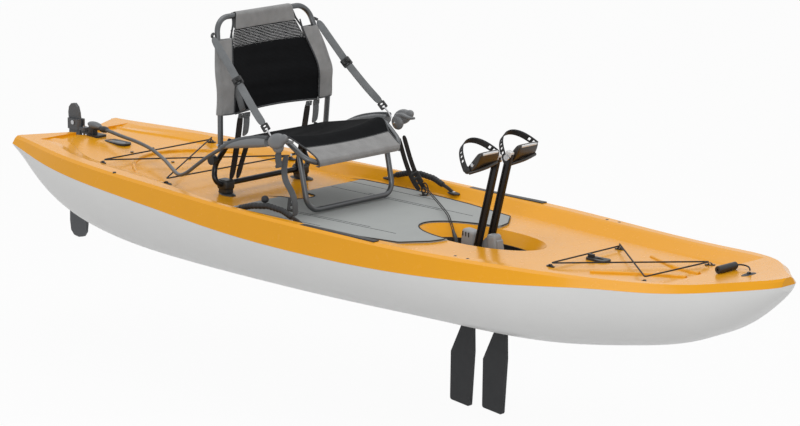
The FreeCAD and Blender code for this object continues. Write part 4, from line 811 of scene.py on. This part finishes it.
# ---- Steering levers ----------------------------------------------------------------------
# A grey nylon fairing carries the sheathed lines along each seat rail to an egg-shaped hub, on
# which a short finger lever turns.
hub_nylon = moulded_plastic("hub_nylon", "#6F7173", roughness=0.38, cloud=0.05, grain_mm=1.0,
                            depth=0.2)
for side, sign in SIDES:
    fairing = tube(f"rail_fairing_{side}", [
        (x, sign * 0.290, z) for x, z in ((-0.515, 0.443), (-0.480, 0.453), (-0.430, 0.466),
                                          (-0.370, 0.479), (-0.328, 0.486), (-0.298, 0.490))],
        0.020, hub_nylon, "hull", girth=(0.7, 1.1, 1.6, 1.9, 1.9, 1.6))
    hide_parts(f"steering_sleeve_{side}")
    tube(f"rail_line_{side}", [
        (x, sign * 0.293, z) for x, z in ((-0.518, 0.440), (-0.480, 0.460), (-0.430, 0.481),
                                          (-0.370, 0.495), (-0.325, 0.503), (-0.292, 0.505))],
        0.016, sheathing, "hull")
    lever = f"lever_{side}"
    cap = dome(f"lever_hub_{side}", (-0.240, sign * 0.302, 0.503), (0.042, 0.015, 0.026),
               hub_nylon, lever, tilt=-0.32)
    dome(f"lever_nose_{side}", (-0.212, sign * 0.303, 0.513), (0.025, 0.011, 0.016),
         hub_nylon, lever, tilt=-0.5)
    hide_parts(f"steering_lever_{side}")
    dome(f"lever_boss_{side}", (-0.250, sign * 0.288, 0.484), (0.027, 0.012, 0.026), hub_nylon,
         lever)
    dome(f"lever_screw_{side}", (-0.254, sign * 0.2755, 0.482), (0.005, 0.002, 0.005),
         stainless, lever)
    reach = ((-0.255, 0.505), (-0.235, 0.513), (-0.212, 0.508), (-0.190, 0.505),
             (-0.174, 0.508))
    tube(f"lever_finger_{side}", [(x, sign * 0.292, z) for x, z in reach], 0.014, hub_nylon,
         lever, girth=(1.4, 1.5, 1.1, 0.85, 0.6))


# ---- Side handles -------------------------------------------------------------------------
# Short carry handles outboard of the seat: a ribbed rubber grip on webbing, with its ends held
# to the deck by oval pads and screws.
black_rubber = moulded_plastic("black_rubber", "#232426", roughness=0.55, cloud=0.06,
                               grain_mm=1.2, depth=0.3, sheen=0.35)


def soft_box(name, centre, size, material, body, lean=0.0, round_mm=4):
    """A box with rounded edges, leaning forward by an angle in radians."""
    mesh = bmesh.new()
    bmesh.ops.create_cube(mesh, size=1)
    bmesh.ops.scale(mesh, verts=mesh.verts, vec=size)
    bmesh.ops.bevel(mesh, geom=mesh.edges, offset=round_mm / 1000, segments=4, profile=0.5,
                    material=-1, affect="EDGES")
    bmesh.ops.rotate(mesh, verts=mesh.verts, matrix=Matrix.Rotation(lean, 3, "Y"))
    bmesh.ops.translate(mesh, verts=mesh.verts, vec=centre)
    block = new_piece(name, mesh, material)
    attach(block, body)
    return block


GRIP = ((-0.340, 0.378, 0.272), (-0.290, 0.372, 0.286), (-0.215, 0.367, 0.296),
        (-0.150, 0.365, 0.290), (-0.105, 0.364, 0.274))
RIBS = 34
for side, sign in SIDES:
    points, girth = [], []
    for rib in range(RIBS + 1):
        place = rib / RIBS * (len(GRIP) - 1)
        number = min(int(place), len(GRIP) - 2)
        spot = Vector(GRIP[number]).lerp(Vector(GRIP[number + 1]), place - number)
        points.append((spot.x, sign * spot.y, spot.z))
        girth.append(1.08 if rib % 2 else 0.86)
    grip = tube(f"side_grip_{side}", points, 0.021, black_rubber, "hull",
                girth=girth)
    if side == "port":
        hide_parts("side_handles")
    for end, (near, pad) in enumerate(((GRIP[0], (-0.385, 0.384, 0.252)),
                                       (GRIP[-1], (-0.052, 0.362, 0.252)))):
        middle = Vector(near).lerp(Vector(pad), 0.5) + Vector((0, 0, 0.004))
        tube(f"handle_web_{side}_{end}", [(q[0], sign * q[1], q[2]) for q in (near, middle,
                                                                              pad)],
             0.013, black_webbing, "hull")
        dome(f"handle_pad_{side}_{end}", (pad[0], sign * pad[1], pad[2]),
             (0.027, 0.014, 0.006), black_nylon, "hull")
        dome(f"handle_screw_{side}_{end}", (pad[0], sign * pad[1], pad[2] + 0.0055),
             (0.006, 0.006, 0.002), stainless, "hull")


# ---- Deck fittings ------------------------------------------------------------------------
# Moulded nylon parts screwed or clipped to the deck: covers over the rim tracks, and the feet
# and caps of the seat's clamps. A rubber ball ends the cord of the starboard handle.
for side, sign in SIDES:
    soft_box(f"track_cover_{side}", (0.155, sign * 0.407, 0.2705), (0.342, 0.024, 0.005),
             black_nylon, "hull", round_mm=2)
    for number, (x, y) in enumerate(((-0.6312, 0.1728), (-0.6048, 0.1872))):
        dome(f"clamp_foot_{side}_{number}", (x, sign * y, 0.246), (0.036, 0.024, 0.010),
             black_nylon, "hull")
    soft_box(f"clamp_cap_{side}", (-0.618, sign * 0.180, 0.281), (0.050, 0.044, 0.034),
             black_nylon, "hull", round_mm=9)
dome("cord_ball", (-0.246, -0.352, 0.312), (0.013, 0.013, 0.013), black_rubber, "hull")


# ---- Drive --------------------------------------------------------------------------------
# The drive's spine is moulded in light grey nylon, with a saddle that rises fore and aft of the
# cranks. The fin cups are a darker grey, and the fins black rubber over sleeved steel masts.
grey_nylon = moulded_plastic("grey_nylon", "#8C8E90", roughness=0.40, cloud=0.05,
                             grain_mm=1.0, depth=0.2)
cup_nylon = moulded_plastic("cup_nylon", "#5B5E61", roughness=0.45, grain_mm=1.0, depth=0.2)
dress(grey_nylon, "drive_spine")
dress(cup_nylon, "fin_cup_front", "fin_cup_rear")
dress(black_rubber, "fin_front", "fin_rear")
for end, mast_x in (("front", 0.512), ("rear", 0.367)):
    tube(f"mast_sleeve_{end}", ((mast_x, 0, -0.085), (mast_x, 0, -0.200), (mast_x, 0, -0.3315)),
         0.0125, black_rubber, f"{end}_fin")

soft_box("saddle_aft", (0.3600, 0, 0.192), (0.058, 0.042, 0.120), grey_nylon, "hull",
         lean=0.10, round_mm=12)
soft_box("saddle_fore", (0.4700, 0, 0.196), (0.044, 0.038, 0.112), grey_nylon, "hull",
         lean=-0.10, round_mm=12)
for number in range(3):
    soft_box(f"saddle_vent_{number}", (0.346 + 0.013 * number, -0.0205, 0.238 - 0.001 * number),
             (0.005, 0.003, 0.016), black_nylon, "hull", round_mm=1)
for number, (x, z) in enumerate(((0.262, 0.158), (0.590, 0.156))):
    soft_box(f"latch_cam_{number}", (x, 0, z), (0.052, 0.030, 0.030), black_nylon, "hull",
             lean=0.3 - 0.6 * number, round_mm=6)
    tube(f"latch_lever_{number}", ((x - 0.02, 0.030, z + 0.006), (x, 0.012, z + 0.022),
                                   (x, -0.012, z + 0.022), (x + 0.02, -0.030, z + 0.006)),
         0.010, black_nylon, "hull")


# ---- Cranks -------------------------------------------------------------------------------
# Fluted aluminium arms, anodised black, with a pale moulded cap at each top where the pedal
# spindle is held, and a black drum with a bolt at each foot.
reflector = moulded_plastic("reflector", "#CFD0D0", roughness=0.25, cloud=0.02, grain_mm=3.0)
CRANK_LEAN = math.atan2(0.0919, 0.3429)
for side, sign in SIDES:
    soft_box(f"crank_clamp_{side}", (0.5042, sign * 0.030, 0.520), (0.024, 0.017, 0.018),
             reflector, f"crank_{side}", lean=CRANK_LEAN, round_mm=3)
    dome(f"crank_bolt_{side}", (0.409, sign * 0.0375, 0.165), (0.011, 0.003, 0.011),
         black_nylon, f"crank_{side}")


# ---- Pedals -------------------------------------------------------------------------------
# Each pedal is a curved black moulding with a ribbed tread, a pale reflector along its upper
# edge and a slotted rubber strap that crosses the foot from one corner to the other.
pedal_plastic = moulded_plastic("pedal_plastic", "#26221F", roughness=0.32, cloud=0.06,
                                grain_mm=1.2, depth=0.2)
TIP = Vector((0.5009, 0, 0.5079))
SLOPE = math.radians(49)
PEDAL_WIDE = 0.098
STRAP_THICK = 0.0026


def on_pedal(sign, x, y, z):
    """A point of the pedal: x up its length, y across from its low side, z off the sole."""
    start = 0.044 if sign > 0 else -0.044 - PEDAL_WIDE
    z += 0.004
    return Vector((TIP.x + x * math.cos(SLOPE) - z * math.sin(SLOPE), start + y,
                   TIP.z + x * math.sin(SLOPE) + z * math.cos(SLOPE)))


# Side view of the moulding: flat sole above, and a belly below that wraps the spindle.
BELLY = ((-0.048, 0.006), (-0.049, -0.002), (-0.038, -0.009), (-0.020, -0.015), (0, -0.017),
         (0.020, -0.015), (0.038, -0.009), (0.048, -0.004), (0.049, 0.003), (0.046, 0.008),
         (0.020, 0.0078), (0, 0.0075), (-0.024, 0.0078), (-0.044, 0.0088))
# Places across the pedal where that outline is set, and its share of the full size there.
STATIONS = ((0.000, 0.86), (0.004, 0.96), (0.014, 1.0), (0.049, 1.0), (0.084, 1.0),
            (0.094, 0.96), (0.098, 0.86))
# The strap is a band of rungs; those in two stretches are slotted in pairs.
STRAP_WIDE, STRAP_RUNGS = 0.024, 64


def strap_point(sign, run, across):
    """A point of the foot strap: run goes along its arch and across its band, both 0 to 1."""
    outboard = -0.006 if sign < 0 else 0.0
    y = outboard + (PEDAL_WIDE + 0.006) * (run - 0.07 * math.sin(2 * math.pi * run))
    return on_pedal(sign, -0.032 + 0.062 * run + STRAP_WIDE * (across - 0.5), y,
                    0.004 + 0.086 * math.sin(math.pi * run) ** 0.85)


for side, sign in SIDES:
    pedal = f"pedal_{side}"
    mesh = bmesh.new()
    rings = []
    for y, share in STATIONS:
        ring = [mesh.verts.new(on_pedal(sign, x * share, y, z * (0.6 + 0.4 * share)))
                for x, z in BELLY]
        rings.append([mesh.edges.new(pair) for pair in zip(ring, ring[1:] + ring[:1])])
    for low, high in zip(rings, rings[1:]):
        bmesh.ops.bridge_loops(mesh, edges=low + high)
    bmesh.ops.holes_fill(mesh, edges=rings[0] + rings[-1], sides=0)
    bmesh.ops.recalc_face_normals(mesh, faces=mesh.faces)
    shell = new_piece(f"pedal_shell_{side}", mesh, pedal_plastic)
    soft = shell.modifiers.new("smooth", "SUBSURF")
    soft.levels = soft.render_levels = 2
    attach(shell, pedal)
    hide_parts(pedal)
    for number, x in enumerate((-0.034, -0.019, 0.011, 0.026)):
        tube(f"pedal_tread_{side}_{number}", [on_pedal(sign, x, 0.010, 0.0085),
                                              on_pedal(sign, x, 0.088, 0.0085)], 0.005,
             black_rubber, pedal)
    tube(f"pedal_reflector_{side}", [on_pedal(sign, 0.0455, 0.014, -0.003),
                                     on_pedal(sign, 0.0470, 0.049, -0.003),
                                     on_pedal(sign, 0.0455, 0.084, -0.003)], 0.010, reflector,
         pedal, girth=(0.8, 1.0, 0.8))
    rail = [on_pedal(sign, -0.034, -0.002, -0.010), on_pedal(sign, -0.006, 0.030, -0.024),
            on_pedal(sign, 0.004, 0.070, -0.022), on_pedal(sign, 0.006, 0.098, -0.016)]
    tube(f"pedal_rail_{side}", rail, 0.012, pedal_plastic, pedal)

    mesh = bmesh.new()
    bmesh.ops.create_grid(mesh, x_segments=4, y_segments=STRAP_RUNGS, size=0.5)
    slots = []
    for face in mesh.faces:
        middle = face.calc_center_median()
        rung = int((middle.y + 0.5) * STRAP_RUNGS)
        slotted = 3 < rung < 27 or rung > 56
        if slotted and rung % 4 in (1, 2) and abs(middle.x) < 0.25:
            slots.append(face)
    bmesh.ops.delete(mesh, geom=slots, context="FACES")
    for vert in mesh.verts:
        vert.co = strap_point(sign, vert.co.y + 0.5, vert.co.x + 0.5)
    bmesh.ops.recalc_face_normals(mesh, faces=mesh.faces)
    strap = new_piece(f"pedal_strap_ladder_{side}", mesh, black_rubber)
    thicken(strap, STRAP_THICK)
    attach(strap, pedal)
    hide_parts(f"pedal_strap_{side}")
    dome(f"strap_knob_{side}", on_pedal(sign, -0.032, 0.004 if sign > 0 else -0.002, 0.001),
         (0.013, 0.008, 0.013), black_rubber, pedal)


# ---- Rudder -------------------------------------------------------------------------------
# The blade and its head are glass-filled nylon in charcoal, hung on a steel pin. A smooth grey
# cap on the transom covers the place where the steering lines enter.
charcoal_nylon = moulded_plastic("charcoal_nylon", "#4A4C4F", roughness=0.5, cloud=0.05,
                                 grain_mm=1.0, depth=0.2)
dress(charcoal_nylon, "rudder_head", "rudder_blade")
# This grey serves the real line cap and also the painted shade of the stern recess.
cap_nylon_and_recess_shade = moulded_plastic("cap_nylon_and_recess_shade", "#5A5D60", roughness=0.35, grain_mm=1.0, depth=0.1)
dome("line_cap", (-1.502, 0, 0.340), (0.034, 0.020, 0.012), cap_nylon_and_recess_shade, "hull",
     tilt=0.12)
dome("line_gland", (-1.452, 0, 0.331), (0.026, 0.013, 0.012), black_nylon, "hull")

# Painted shade: a flat dark grey disc within the stern handle stands for the shade in the
# recess under its grip.
low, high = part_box("stern_handle")
dome("stern_recess_shade", [(a + b) / 2 for a, b in zip(low, high)],
     [(high[0] - low[0]) * 0.46, (high[1] - low[1]) * 0.42, 0.003], cap_nylon_and_recess_shade, "hull")
